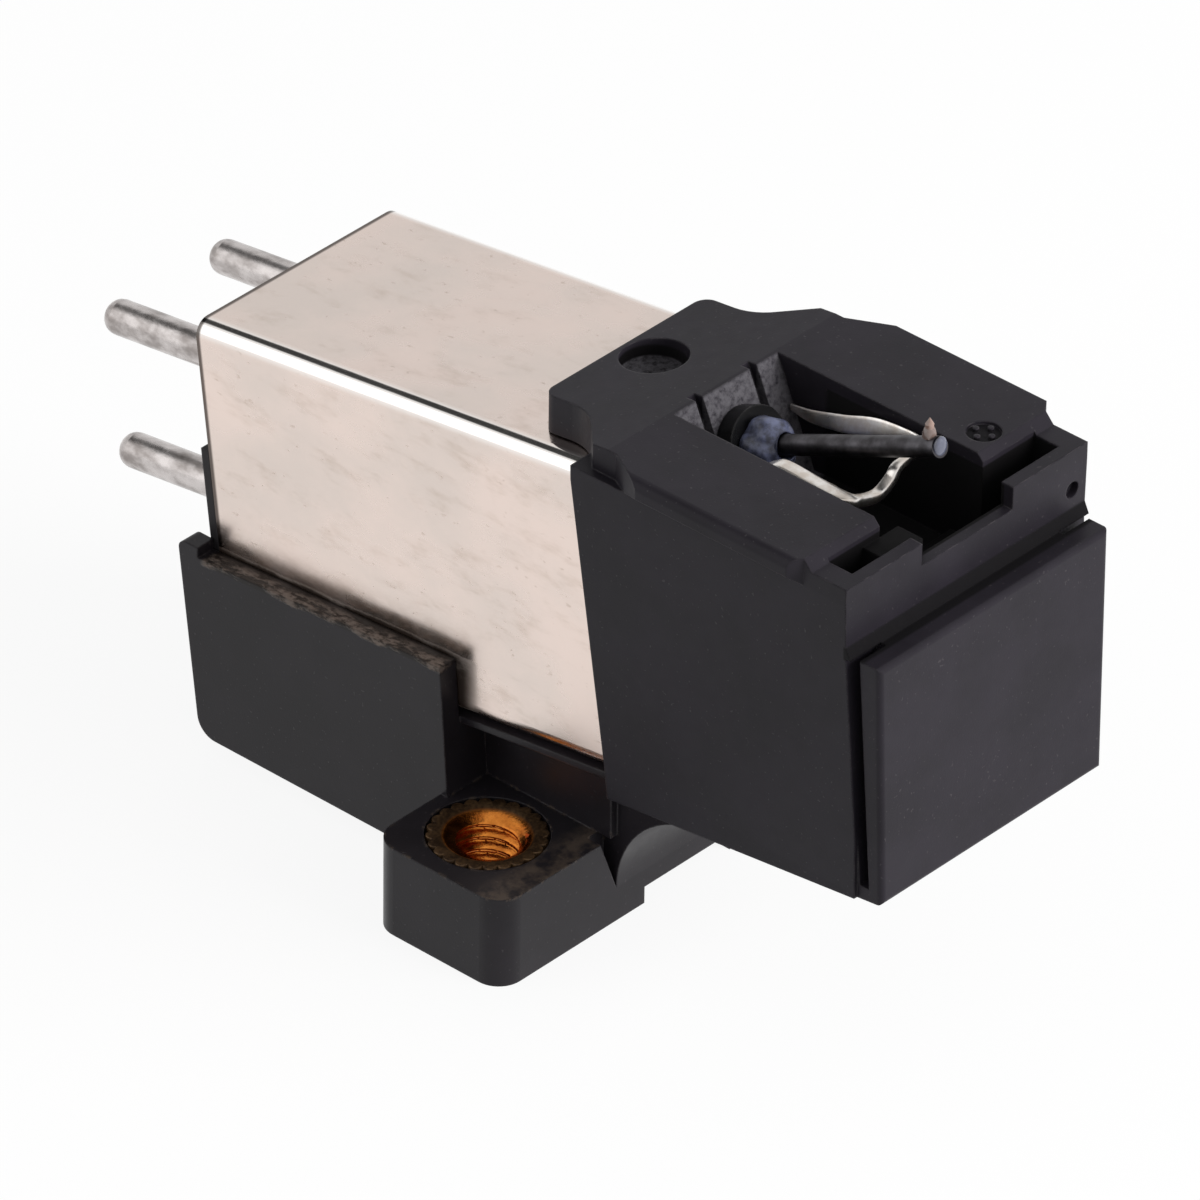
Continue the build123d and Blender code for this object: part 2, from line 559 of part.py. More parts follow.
with BuildPart() as stylus_holder:
    with BuildSketch(Plane.YZ):
        with BuildLine():
            Polyline(
                (0, PLATE_TOP - TONGUE_DROP),
                (-BLOCK_REAR, PLATE_TOP),
                (-STRIP_FRONT, PLATE_TOP),
                (-STRIP_FRONT, LEDGE_HEIGHT + WALL_FOOT_RISE),
                (-STRIP_FRONT - WALL_FOOT_RUN, LEDGE_HEIGHT),
                (-GRIP_FRONT_TOP, LEDGE_HEIGHT),
                (-GRIP_FRONT_FOOT, GRIP_FOOT),
                block_rear_foot,
                block_rear_top,
                (0, tongue_foot_z),
                close=True,
            )
        make_face()
    extrude(amount=PLATE_HALF_WIDTH, both=True)
    # Cross section: plate with round edges, flared in to the drafted sides of the block
    with BuildSketch(Plane.XZ):
        with BuildLine():
            Polyline(
                (0, PLATE_TOP),
                (PLATE_HALF_WIDTH, PLATE_TOP),
                (PLATE_HALF_WIDTH, flare_top),
                (BLOCK_HALF_WIDTH, flare_foot),
                (BLOCK_FOOT_HALF_WIDTH, BLOCK_FOOT),
                (BLOCK_FOOT_HALF_WIDTH, 0),
                (0, 0),
            )
            mirror(about=Plane.YZ)
        make_face()
        fillet(vertices().group_by(Axis.Y)[-1].sort_by(Axis.X)[0::2], PLATE_EDGE)
    extrude(amount=2 * GRIP_FRONT_FOOT, both=True, mode=Mode.INTERSECT)
    # Plan of the top: the tongue is trimmed over its whole depth, the block only beside the plate
    for layer_foot, layer_front in ((block_rear_foot[1], block_rear_top[0]), (flare_foot, -PLAN_LENGTH)):
        with BuildSketch(Plane.XY.offset(layer_foot)):
            with Locations((0, layer_front)):
                Rectangle(PLAN_LENGTH, 2 * PLAN_LENGTH, align=(Align.CENTER, Align.MIN))
            with BuildLine():
                Line((0, 0), (TONGUE_HALF_WIDTH - TONGUE_CORNER, 0))
                RadiusArc(
                    (TONGUE_HALF_WIDTH - TONGUE_CORNER, 0),
                    (TONGUE_HALF_WIDTH, -TONGUE_CORNER),
                    TONGUE_CORNER,
                )
                Line((TONGUE_HALF_WIDTH, -TONGUE_CORNER), (TONGUE_HALF_WIDTH, -TONGUE_STRAIGHT))
                TangentArc(
                    (TONGUE_HALF_WIDTH, -TONGUE_STRAIGHT), (TONGUE_FLARE_X, -TONGUE_FLARE_Y), tangent=(0, -1)
                )
                Polyline(
                    (TONGUE_FLARE_X, -TONGUE_FLARE_Y),
                    (SHOULDER_HALF_WIDTH, -SHOULDER_Y),
                    (SHOULDER_HALF_WIDTH, -BLOCK_REAR - STRIP_RUN),
                    (PLATE_HALF_WIDTH, -PLATE_SHOULDER),
                    (PLATE_HALF_WIDTH, -PLATE_FRONT + PLATE_CORNER),
                    (BLOCK_HALF_WIDTH, -PLATE_FRONT),
                    (BLOCK_HALF_WIDTH, -GRIP_FRONT_FOOT),
                    (0, -GRIP_FRONT_FOOT),
                )
                mirror(about=Plane.YZ)
            make_face(mode=Mode.SUBTRACT)
        extrude(amount=PLATE_TOP - layer_foot, mode=Mode.SUBTRACT)
    # Step down to the front strip, and the rounded outline of the grip
    with BuildSketch(Plane.YZ):
        with BuildLine():
            Polyline(
                (-PLATE_FRONT, PLATE_TOP),
                (-PLATE_FRONT - STRIP_RUN, strip_top),
                (-GRIP_FRONT_FOOT, strip_top),
                (-GRIP_FRONT_FOOT, PLATE_TOP),
                close=True,
            )
        make_face()
    extrude(amount=PLATE_HALF_WIDTH, both=True, mode=Mode.SUBTRACT)
    with BuildSketch(Plane.XZ.offset(groove_front)):
        for side in (-1, 1):
            with BuildLine():
                Polyline(
                    (side * GRIP_HALF_WIDTH, LEDGE_HEIGHT),
                    (side * grip_datum_half_width, 0),
                    (side * PLATE_HALF_WIDTH, 0),
                    (side * PLATE_HALF_WIDTH, LEDGE_HEIGHT),
                    close=True,
                )
            make_face()
    extrude(amount=GRIP_FRONT_FOOT, mode=Mode.SUBTRACT)
    grip_front = stylus_holder.faces().sort_by(Axis.Y)[0]
    fillet(grip_front.edges(), GRIP_CORNER)
    # Socket for the nose of the can, with the plug that enters the can's notch left standing in it
    with BuildSketch(can_side):
        with Locations((CAN_FRONT - HOLDER_FIT, CAN_BOTTOM - HOLDER_FIT)):
            Rectangle(CAN_REAR, can_height + 2 * HOLDER_FIT, align=(Align.MIN, Align.MIN))
    extrude(amount=can_half_width + HOLDER_FIT, both=True, mode=Mode.SUBTRACT)
    with BuildSketch(can_side):
        with Locations((CAN_FRONT - HOLDER_FIT, PLUG_BOTTOM)):
            Rectangle(plug_length, tongue_under - PLUG_BOTTOM, align=(Align.MIN, Align.MIN))
    extrude(amount=PLUG_HALF_WIDTH, both=True)
    # Window over the cantilever, its ramp square to the cantilever, the throat and the cross slot
    with BuildSketch(Plane.YZ):
        with BuildLine():
            Polyline(
                (ramp_y(window_clear), window_clear),
                (ramp_y(WINDOW_FLOOR), WINDOW_FLOOR),
                (-WINDOW_FRONT, WINDOW_FLOOR),
                (-WINDOW_FRONT, window_clear),
                close=True,
            )
        make_face()
    extrude(amount=WINDOW_HALF_WIDTH, both=True, mode=Mode.SUBTRACT)
    with BuildSketch(Plane.XY.offset(PLATE_TOP - CROSS_SLOT_DEPTH)):
        with Locations((0, -CROSS_SLOT_FRONT)):
            Rectangle(
                2 * WINDOW_HALF_WIDTH, CROSS_SLOT_FRONT - WINDOW_FRONT, align=(Align.CENTER, Align.MIN)
            )
            Rectangle(
                2 * CROSS_SLOT_HALF_WIDTH, CROSS_SLOT_FRONT - CROSS_SLOT_REAR,
                align=(Align.CENTER, Align.MIN),
            )
    extrude(amount=CROSS_SLOT_DEPTH, mode=Mode.SUBTRACT)
    with BuildSketch(Plane.XY.offset(PLATE_TOP - CROSS_SLOT_DEPTH)):
        with Locations((-SLOT_POST_X, -CROSS_SLOT_FRONT)):
            Rectangle(
                SLOT_POST_WIDTH, CROSS_SLOT_FRONT - CROSS_SLOT_REAR, align=(Align.CENTER, Align.MIN)
            )
    extrude(amount=CROSS_SLOT_DEPTH - STRIP_DROP - SLOT_POST_DROP)
    with BuildSketch(Plane.XY.offset(strip_top - NOTCH_DEPTH)):
        with Locations((0, -STRIP_FRONT)):
            Rectangle(2 * NOTCH_HALF_WIDTH, notch_length, align=(Align.CENTER, Align.MIN))
    extrude(amount=NOTCH_DEPTH, mode=Mode.SUBTRACT)
    with BuildSketch(cantilever_plane.offset(ramp_along)):
        with GridLocations(2 * RAMP_SLOT_X, 0, 2, 1):
            Rectangle(RAMP_SLOT_WIDTH, 2 * RAMP_SLOT_LENGTH, align=(Align.CENTER, Align.MIN))
    extrude(amount=-RAMP_SLOT_DEPTH, mode=Mode.SUBTRACT)
    # Bore for the suspension sleeve, hole in the tongue, round mark and dimple
    with BuildSketch(cantilever_plane.offset(ramp_along)):
        Circle(SLEEVE_RADIUS + SLEEVE_FIT)
    extrude(amount=-2 * SLEEVE_LENGTH, mode=Mode.SUBTRACT)
    with BuildSketch(Plane.XY.offset(PLATE_TOP - TONGUE_HOLE_DEPTH)):
        with Locations((0, -TONGUE_HOLE_Y)):
            Circle(TONGUE_HOLE_RADIUS)
    extrude(amount=TONGUE_HOLE_DEPTH, mode=Mode.SUBTRACT)
    with BuildSketch(Plane.XY.offset(PLATE_TOP - MARK_DEPTH)):
        with Locations((MARK_X, -MARK_Y)):
            Circle(MARK_RADIUS)
            with PolarLocations(MARK_DOT_CIRCLE, MARK_DOTS):
                Circle(MARK_DOT_RADIUS, mode=Mode.SUBTRACT)
    extrude(amount=MARK_DEPTH, mode=Mode.SUBTRACT)
    with BuildSketch(Plane.XZ.offset(STRIP_FRONT - DIMPLE_DEPTH)):
        with Locations((DIMPLE_X, DIMPLE_HEIGHT)):
            Circle(DIMPLE_RADIUS)
    extrude(amount=2 * DIMPLE_DEPTH, mode=Mode.SUBTRACT)
    # Groove behind the grip, up both sides
    for side in (-1, 1):
        with BuildSketch(Plane.YZ.offset(side * (GRIP_HALF_WIDTH - GROOVE_DEPTH))):
            with BuildLine():
                groove_foot = (-STRIP_FRONT - GROOVE_LEAN, GRIP_FOOT + GROOVE_FOOT)
                Polyline(
                    (-STRIP_FRONT, LEDGE_HEIGHT),
                    groove_foot,
                    (groove_foot[0] - GROOVE_WIDTH, groove_foot[1]),
                    (-groove_front, LEDGE_HEIGHT),
                    close=True,
                )
            make_face()
        extrude(amount=side * PLATE_HALF_WIDTH, mode=Mode.SUBTRACT)
stylus_holder.part.label = "stylus_holder"
export_step(stylus_holder.part, "parts/stylus_holder.step")

# Suspension: a sleeve with a collar in the holder, and the rubber damper in front of the collar
with BuildPart() as pivot_sleeve:
    with BuildSketch(cantilever_plane.offset(ramp_along - SLEEVE_LENGTH)):
        Circle(SLEEVE_RADIUS)
        Circle(SLEEVE_BORE, mode=Mode.SUBTRACT)
    extrude(amount=SLEEVE_LENGTH)
    with BuildSketch(cantilever_plane.offset(ramp_along)):
        Circle(COLLAR_RADIUS)
        Circle(SLEEVE_BORE, mode=Mode.SUBTRACT)
    extrude(amount=-DAMPER_HALF_LENGTH - DAMPER_GAP - ramp_along)
pivot_sleeve.part.label = "pivot_sleeve"
export_step(pivot_sleeve.part, "parts/pivot_sleeve.step")

with BuildPart() as damper_ring:
    with BuildSketch(cantilever_plane.offset(-DAMPER_HALF_LENGTH)):
        Circle(DAMPER_RADIUS)
        Circle(CANTILEVER_RADIUS + DAMPER_CLEARANCE, mode=Mode.SUBTRACT)
    extrude(amount=2 * DAMPER_HALF_LENGTH)
    front_rim = damper_ring.edges().filter_by(GeomType.CIRCLE).group_by(Axis.Y)[0].sort_by(SortBy.RADIUS)[-1]
    chamfer(front_rim, DAMPER_ROUND)
damper_ring.part.label = "damper_ring"
export_step(damper_ring.part, "parts/damper_ring.step")

# Cantilever tube, the magnet on its tail, the suspension wire in its bore and the stylus on its tip
with BuildPart() as cantilever:
    with BuildSketch(cantilever_plane.offset(-CANTILEVER_TAIL)):
        Circle(CANTILEVER_RADIUS)
        Circle(CANTILEVER_BORE, mode=Mode.SUBTRACT)
    extrude(amount=CANTILEVER_TAIL + CANTILEVER_REACH)
cantilever.part.label = "cantilever"
export_step(cantilever.part, "parts/cantilever.step")

with BuildPart() as magnet:
    with BuildSketch(cantilever_plane.offset(-CANTILEVER_TAIL)):
        Circle(MAGNET_RADIUS)
    extrude(amount=-MAGNET_LENGTH)
magnet.part.label = "magnet"
export_step(magnet.part, "parts/magnet.step")

with BuildPart() as suspension_wire:
    with BuildSketch(cantilever_plane.offset(-WIRE_LENGTH / 2)):
        Circle(WIRE_RADIUS)
    extrude(amount=WIRE_LENGTH)
suspension_wire.part.label = "suspension_wire"
export_step(suspension_wire.part, "parts/suspension_wire.step")

stylus_along = CANTILEVER_REACH - STYLUS_BACK
stylus_y = PIVOT_Y - stylus_along * rise_cos
stylus_lift = (CANTILEVER_RADIUS + STYLUS_RADIUS * rise_sin) / rise_cos
stylus_z = pivot_z + stylus_along * rise_sin + stylus_lift
with BuildPart() as stylus_tip:
    with BuildSketch(Plane.YZ):
        with BuildLine():
            Polyline(
                (stylus_y, stylus_z),
                (stylus_y, stylus_z + STYLUS_SHANK + STYLUS_CONE),
                (stylus_y - STYLUS_RADIUS, stylus_z + STYLUS_SHANK),
                (stylus_y - STYLUS_RADIUS, stylus_z),
                close=True,
            )
        make_face()
    revolve(axis=Axis((0, stylus_y, 0), (0, 0, 1)))
stylus_tip.part.label = "stylus_tip"
export_step(stylus_tip.part, "parts/stylus_tip.step")

# Retaining clip: two flat arms rising from the ramp, joined by a bar that dips under the cantilever
clip_outer = CLIP_ARM_X + CLIP_ARM_WIDTH / 2
clip_heel_z = PLATE_TOP - CLIP_HEEL_DROP
clip_knee_z = PLATE_TOP - CLIP_KNEE_DROP
clip_knee_y = ramp_y(clip_knee_z) - CLIP_KNEE_RUN
clip_front_z = PLATE_TOP - CLIP_FRONT_DROP
dip_low = clip_front_z - CLIP_DIP
dip_foot = CLIP_DIP_HALF_WIDTH - CLIP_DIP
with BuildPart() as retaining_clip:
    for side in (-1, 1):
        with BuildSketch(Plane.YZ.offset(side * (CLIP_ARM_X - CLIP_ARM_WIDTH / 2))):
            with BuildLine():
                Polyline(
                    (ramp_y(clip_heel_z), clip_heel_z),
                    (clip_knee_y, clip_knee_z),
                    (CLIP_FRONT_Y, clip_front_z),
                    (CLIP_FRONT_Y, clip_front_z - CLIP_GAUGE),
                    (clip_knee_y, clip_knee_z - CLIP_GAUGE),
                    (ramp_y(clip_heel_z - CLIP_GAUGE), clip_heel_z - CLIP_GAUGE),
                    close=True,
                )
            make_face()
        extrude(amount=side * CLIP_ARM_WIDTH)
    with BuildSketch(Plane.XZ.offset(-CLIP_FRONT_Y - CLIP_BAR_WIDTH)):
        with BuildLine():
            edge = FilletPolyline(
                (-clip_outer, clip_front_z),
                (CLIP_DIP_X - CLIP_DIP_HALF_WIDTH, clip_front_z),
                (CLIP_DIP_X - dip_foot, dip_low),
                (CLIP_DIP_X + dip_foot, dip_low),
                (CLIP_DIP_X + CLIP_DIP_HALF_WIDTH, clip_front_z),
                (clip_outer, clip_front_z),
                radius=CLIP_DIP_RADIUS,
            )
            under = FilletPolyline(
                (-clip_outer, clip_front_z - CLIP_GAUGE),
                (CLIP_DIP_X - CLIP_DIP_HALF_WIDTH - CLIP_GAUGE / 2, clip_front_z - CLIP_GAUGE),
                (CLIP_DIP_X - dip_foot - CLIP_GAUGE / 2, dip_low - CLIP_GAUGE),
                (CLIP_DIP_X + dip_foot + CLIP_GAUGE / 2, dip_low - CLIP_GAUGE),
                (CLIP_DIP_X + CLIP_DIP_HALF_WIDTH + CLIP_GAUGE / 2, clip_front_z - CLIP_GAUGE),
                (clip_outer, clip_front_z - CLIP_GAUGE),
                radius=CLIP_DIP_RADIUS,
            )
            Line(edge @ 0, under @ 0)
            Line(edge @ 1, under @ 1)
        make_face()
    extrude(amount=CLIP_BAR_WIDTH)
retaining_clip.part.label = "retaining_clip"
export_step(retaining_clip.part, "parts/retaining_clip.step")
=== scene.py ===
"""Studio scene of a moving-magnet turntable cartridge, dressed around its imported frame.

The solids keep their shapes and places. Each sub-assembly is a class that gives its nodes their
finishes and adds what is too fine for the solids: threads, the bent clip, beads and the soft damper.
Lengths are in millimetres in the fields below and turned into metres where meshes are made.
"""

import json
import logging
import math
from dataclasses import dataclass
from enum import Enum
from typing import Any, Callable, Mapping, Optional, Sequence, Union

import bpy
from mathutils import Matrix, Vector, noise

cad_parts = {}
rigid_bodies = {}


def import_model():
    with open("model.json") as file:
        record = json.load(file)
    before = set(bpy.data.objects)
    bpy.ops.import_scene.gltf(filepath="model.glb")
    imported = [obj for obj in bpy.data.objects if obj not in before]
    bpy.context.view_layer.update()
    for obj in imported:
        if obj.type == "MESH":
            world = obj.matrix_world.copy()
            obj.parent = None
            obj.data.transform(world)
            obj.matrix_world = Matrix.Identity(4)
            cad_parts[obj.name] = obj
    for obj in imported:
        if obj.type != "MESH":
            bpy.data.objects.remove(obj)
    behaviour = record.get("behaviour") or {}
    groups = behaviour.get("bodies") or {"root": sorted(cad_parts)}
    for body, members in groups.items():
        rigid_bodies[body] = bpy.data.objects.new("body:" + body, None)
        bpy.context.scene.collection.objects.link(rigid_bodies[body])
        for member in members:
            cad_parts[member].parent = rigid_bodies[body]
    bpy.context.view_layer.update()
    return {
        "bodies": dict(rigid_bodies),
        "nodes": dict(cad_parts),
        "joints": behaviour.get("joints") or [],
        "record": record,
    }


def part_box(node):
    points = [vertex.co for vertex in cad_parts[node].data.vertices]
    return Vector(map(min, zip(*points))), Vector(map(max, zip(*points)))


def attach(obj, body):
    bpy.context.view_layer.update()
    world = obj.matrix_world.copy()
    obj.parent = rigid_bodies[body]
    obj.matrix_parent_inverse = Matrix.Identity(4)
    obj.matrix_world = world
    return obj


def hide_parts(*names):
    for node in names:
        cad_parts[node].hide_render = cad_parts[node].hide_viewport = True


LOG = logging.getLogger("cartridge")
MM = 0.001
HANDS = ("left", "right")
FULL_TURN = 2 * math.pi

Ring = Sequence[Vector]
Feed = Union[int, float, Sequence[float], "Value", "Colour"]


class Body(Enum):
    """The bodies of the frame that pieces ride on."""

    CARTRIDGE = "cartridge_body"
    STYLUS = "stylus_assembly"
    SUSPENSION = "suspension"
    CANTILEVER = "cantilever"


class Slot(Enum):
    """Names of the record's material slots for the added pieces."""

    BRASS = "insert_brass"
    CLIP = "clip_steel"
    RUBBER = "damper_rubber"
    CRYSTAL = "stylus_crystal"


@dataclass(frozen=True)
class Colour:
    """A colour as it looks on screen, each channel from 0 to 255."""

    red: float
    green: float
    blue: float

    def linear(self) -> tuple[float, float, float, float]:
        """Scene-linear red, green, blue and full alpha."""
        def channel(value: float) -> float:
            """One channel without its display curve."""
            share = value / 255.0
            return share / 12.92 if share <= 0.04045 else ((share + 0.055) / 1.055) ** 2.4
        return channel(self.red), channel(self.green), channel(self.blue), 1.0

    def dimmed(self, share: float) -> "Colour":
        """The same hue with each channel at a share of its value."""
        return Colour(self.red * share, self.green * share, self.blue * share)


class Value:
    """A number that changes over a surface: an output socket with Python's arithmetic."""

    def __init__(self, nodes: "Nodes", socket: bpy.types.NodeSocket) -> None:
        """Keeps the tree that the socket belongs to, and the socket."""
        self.nodes = nodes
        self.socket = socket

    def __add__(self, other: Feed) -> "Value":
        """The sum."""
        return self.nodes.math("ADD", self, other)

    def __radd__(self, other: Feed) -> "Value":
        """The sum, with a plain number first."""
        return self.nodes.math("ADD", other, self)

    def __sub__(self, other: Feed) -> "Value":
        """The difference."""
        return self.nodes.math("SUBTRACT", self, other)

    def __rsub__(self, other: Feed) -> "Value":
        """The difference, with a plain number first."""
        return self.nodes.math("SUBTRACT", other, self)

    def __mul__(self, other: Feed) -> "Value":
        """The product."""
        return self.nodes.math("MULTIPLY", self, other)

    def __rmul__(self, other: Feed) -> "Value":
        """The product, with a plain number first."""
        return self.nodes.math("MULTIPLY", other, self)

    def __abs__(self) -> "Value":
        """The size without the sign."""
        return self.nodes.math("ABSOLUTE", self)

    def between(self, low: float, high: float) -> "Value":
        """A soft step: 0 below low, 1 above high, or falling where low is above high."""
        settings = {"interpolation_type": "SMOOTHSTEP", "clamp": True}
        if low < high:
            limits = {1: low, 2: high, 3: 0.0, 4: 1.0}
        else:
            limits = {1: high, 2: low, 3: 1.0, 4: 0.0}
        return self.nodes.add("ShaderNodeMapRange", settings, {0: self, **limits})

    def or_else(self, other: Feed) -> "Value":
        """The larger of the two."""
        return self.nodes.math("MAXIMUM", self, other)


class Nodes:
    """A node tree, with one method that adds any node and a few that name common ones."""

    def __init__(self, tree: bpy.types.NodeTree) -> None:
        """Keeps the tree."""
        self.tree = tree

    def add(
        self,
        kind: str,
        settings: Optional[Mapping[str, Any]] = None,
        sockets: Optional[Mapping[Union[int, str], Feed]] = None,
        output: Union[int, str] = 0,
    ) -> Value:
        """Adds a node, sets it up and feeds its sockets.

        Args:
            kind: The node's type.
            settings: Its properties, set first.
            sockets: Numbers, colours, vectors or values for its inputs, by name or place.
            output: The name or place of the output that is wanted.

        Returns:
            That output as a value.
        """
        node = self.tree.nodes.new(kind)
        for name, setting in (settings or {}).items():
            setattr(node, name, setting)
        for key, feed in (sockets or {}).items():
            self.feed(node.inputs[key], feed)
        return Value(self, node.outputs[output])

    def feed(self, socket: bpy.types.NodeSocket, feed: Feed) -> None:
        """Links a value to an input, or sets the input to a number, colour or vector.

        Args:
            socket: The input.
            feed: What it gets.
        """
        if isinstance(feed, Value):
            self.tree.links.new(feed.socket, socket)
        elif isinstance(feed, Colour):
            socket.default_value = feed.linear()
        else:
            socket.default_value = feed

    def math(self, operation: str, first: Feed, second: Feed = 0.0) -> Value:
        """A Math node's result on one or two numbers."""
        return self.add("ShaderNodeMath", {"operation": operation}, {0: first, 1: second})

    def vector(self, operation: str, first: Feed, second: Feed, output: str = "Vector") -> Value:
        """A Vector Math node's result on two vectors."""
        return self.add("ShaderNodeVectorMath", {"operation": operation}, {0: first, 1: second}, output)

    def mix(self, share: Feed, first: Feed, second: Feed) -> Value:
        """A colour between two others."""
        settings = {"data_type": "RGBA", "blend_type": "MIX", "clamp_factor": True}
        return self.add("ShaderNodeMix", settings, {0: share, 6: first, 7: second}, 2)

    def axes(self, vector: Value) -> tuple[Value, Value, Value]:
        """The three parts of a vector."""
        node = self.add("ShaderNodeSeparateXYZ", None, {0: vector}).socket.node
        return tuple(Value(self, socket) for socket in node.outputs)


class Shader(Nodes):
    """One material, built round its Principled shader, with patterns laid in the part's frame, in mm."""

    def __init__(self, name: str) -> None:
        """Makes the empty material.

        Args:
            name: The material's name.
        """
        self.material = bpy.data.materials.new(name)
        self.material.use_nodes = True
        super().__init__(self.material.node_tree)
        self.surface = next(n for n in self.tree.nodes if n.type == "BSDF_PRINCIPLED")
        metres = self.add("ShaderNodeTexCoord", None, None, "Object")
        self.place = self.vector("MULTIPLY", metres, (1 / MM, 1 / MM, 1 / MM))

    def set(self, **sockets: Feed) -> bpy.types.Material:
        """Feeds the Principled shader's sockets.

        Args:
            sockets: Values by socket name, with underscores for spaces.

        Returns:
            The finished material.
        """
        for name, feed in sockets.items():
            self.feed(self.surface.inputs[name.replace("_", " ")], feed)
        return self.material

    def cloud(self, size_mm: float, detail: float = 2.0, rough: float = 0.5,
              stretch: Sequence[float] = (1, 1, 1), shift: float = 0.0) -> Value:
        """Soft noise with patches of a given size.

        Args:
            size_mm: About how wide a patch is.
            detail: How many finer layers it has.
            rough: How strong the finer layers are.
            stretch: How much longer the patches are along each axis.
            shift: Moves the pattern, so that two clouds differ.

        Returns:
            The noise, from 0 to 1 around 0.5.
        """
        place = self.vector("MULTIPLY", self.place, tuple(1.0 / (size_mm * s) for s in stretch))
        place = self.vector("ADD", place, (shift, shift, shift))
        return self.add("ShaderNodeTexNoise", {"noise_dimensions": "3D"},
                        {"Vector": place, "Scale": 1.0, "Detail": detail, "Roughness": rough})

    def facing(self) -> tuple[Value, Value, Value]:
        """The three parts of the plain surface normal."""
        return self.axes(self.add("ShaderNodeNewGeometry", None, None, "Normal"))

    def soft_edge(self, radius_mm: float) -> Value:
        """Surface normals rounded over the edges."""
        return self.add("ShaderNodeBevel", {"samples": 6}, {"Radius": radius_mm * MM})

    def edge_mask(self, rounded: Value) -> Value:
        """How near an edge is: 0 on the flats, rising along the edges."""
        plain = self.add("ShaderNodeNewGeometry", None, None, "Normal")
        return 1.0 - self.vector("DOT_PRODUCT", rounded, plain, "Value")

    def bump(self, height: Value, depth_mm: float, normal: Optional[Value] = None) -> Value:
        """A Bump node's normal.

        Args:
            height: The relief, from 0 to 1.
            depth_mm: How deep the relief is.
            normal: The normal that it works on, if not the plain one.

        Returns:
            The bumped normal.
        """
        sockets: dict[Union[int, str], Feed] = {"Height": height, "Distance": depth_mm * MM}
        if normal is not None:
            sockets["Normal"] = normal
        return self.add("ShaderNodeBump", None, sockets)


@dataclass(frozen=True)
class MouldedPlastic:
    """Black moulded plastic: fine grain, faint flow clouds, dust, and edges painted a little paler, partly
    as rubbed wear and partly as painted highlight.
    """

    name: str
    tone: Colour
    worn_and_highlight: Colour = Colour(84, 80, 82)
    roughness: float = 0.38
    specular: float = 0.2
    grain_mm: float = 0.07
    grain_depth_mm: float = 0.0025
    edge_mm: float = 0.09
    wear_and_highlight: float = 0.55
    dust: float = 0.3

    def material(self) -> bpy.types.Material:
        """The plastic as a material."""
        shader = Shader(self.name)
        tone, roughness, normal = self.layers(shader)
        return shader.set(Base_Color=tone, Roughness=roughness, Normal=normal,
                          Specular_IOR_Level=self.specular)

    def layers(self, shader: Shader) -> tuple[Value, Value, Value]:
        """The plastic's changing sockets.

        Args:
            shader: The material that they are made in.

        Returns:
            Base colour, roughness and normal.
        """
        rounded = shader.soft_edge(self.edge_mm)
        flow = shader.cloud(2.4, 3.0)
        patch = shader.cloud(0.5, 4.0, 0.6, shift=3.0)
        speck = shader.cloud(0.13, 1.0, 0.4, shift=12.0).between(0.7, 0.78) * self.dust
        # Paler edges: partly rubbed wear, partly a painted highlight along the edges.
        rub_and_highlight = shader.edge_mask(rounded).between(0.02, 0.25) * patch.between(0.4, 0.65) * self.wear_and_highlight
        tone = shader.mix(flow.between(0.3, 0.7), self.tone.dimmed(0.84), self.tone)
        tone = shader.mix(rub_and_highlight.or_else(speck), tone, self.worn_and_highlight)
        roughness = self.roughness + 0.1 * (flow - 0.5) + 0.16 * (patch - 0.5)
        grain = shader.cloud(self.grain_mm, 2.0, 0.6)
        return tone, roughness, shader.bump(grain, self.grain_depth_mm, rounded)


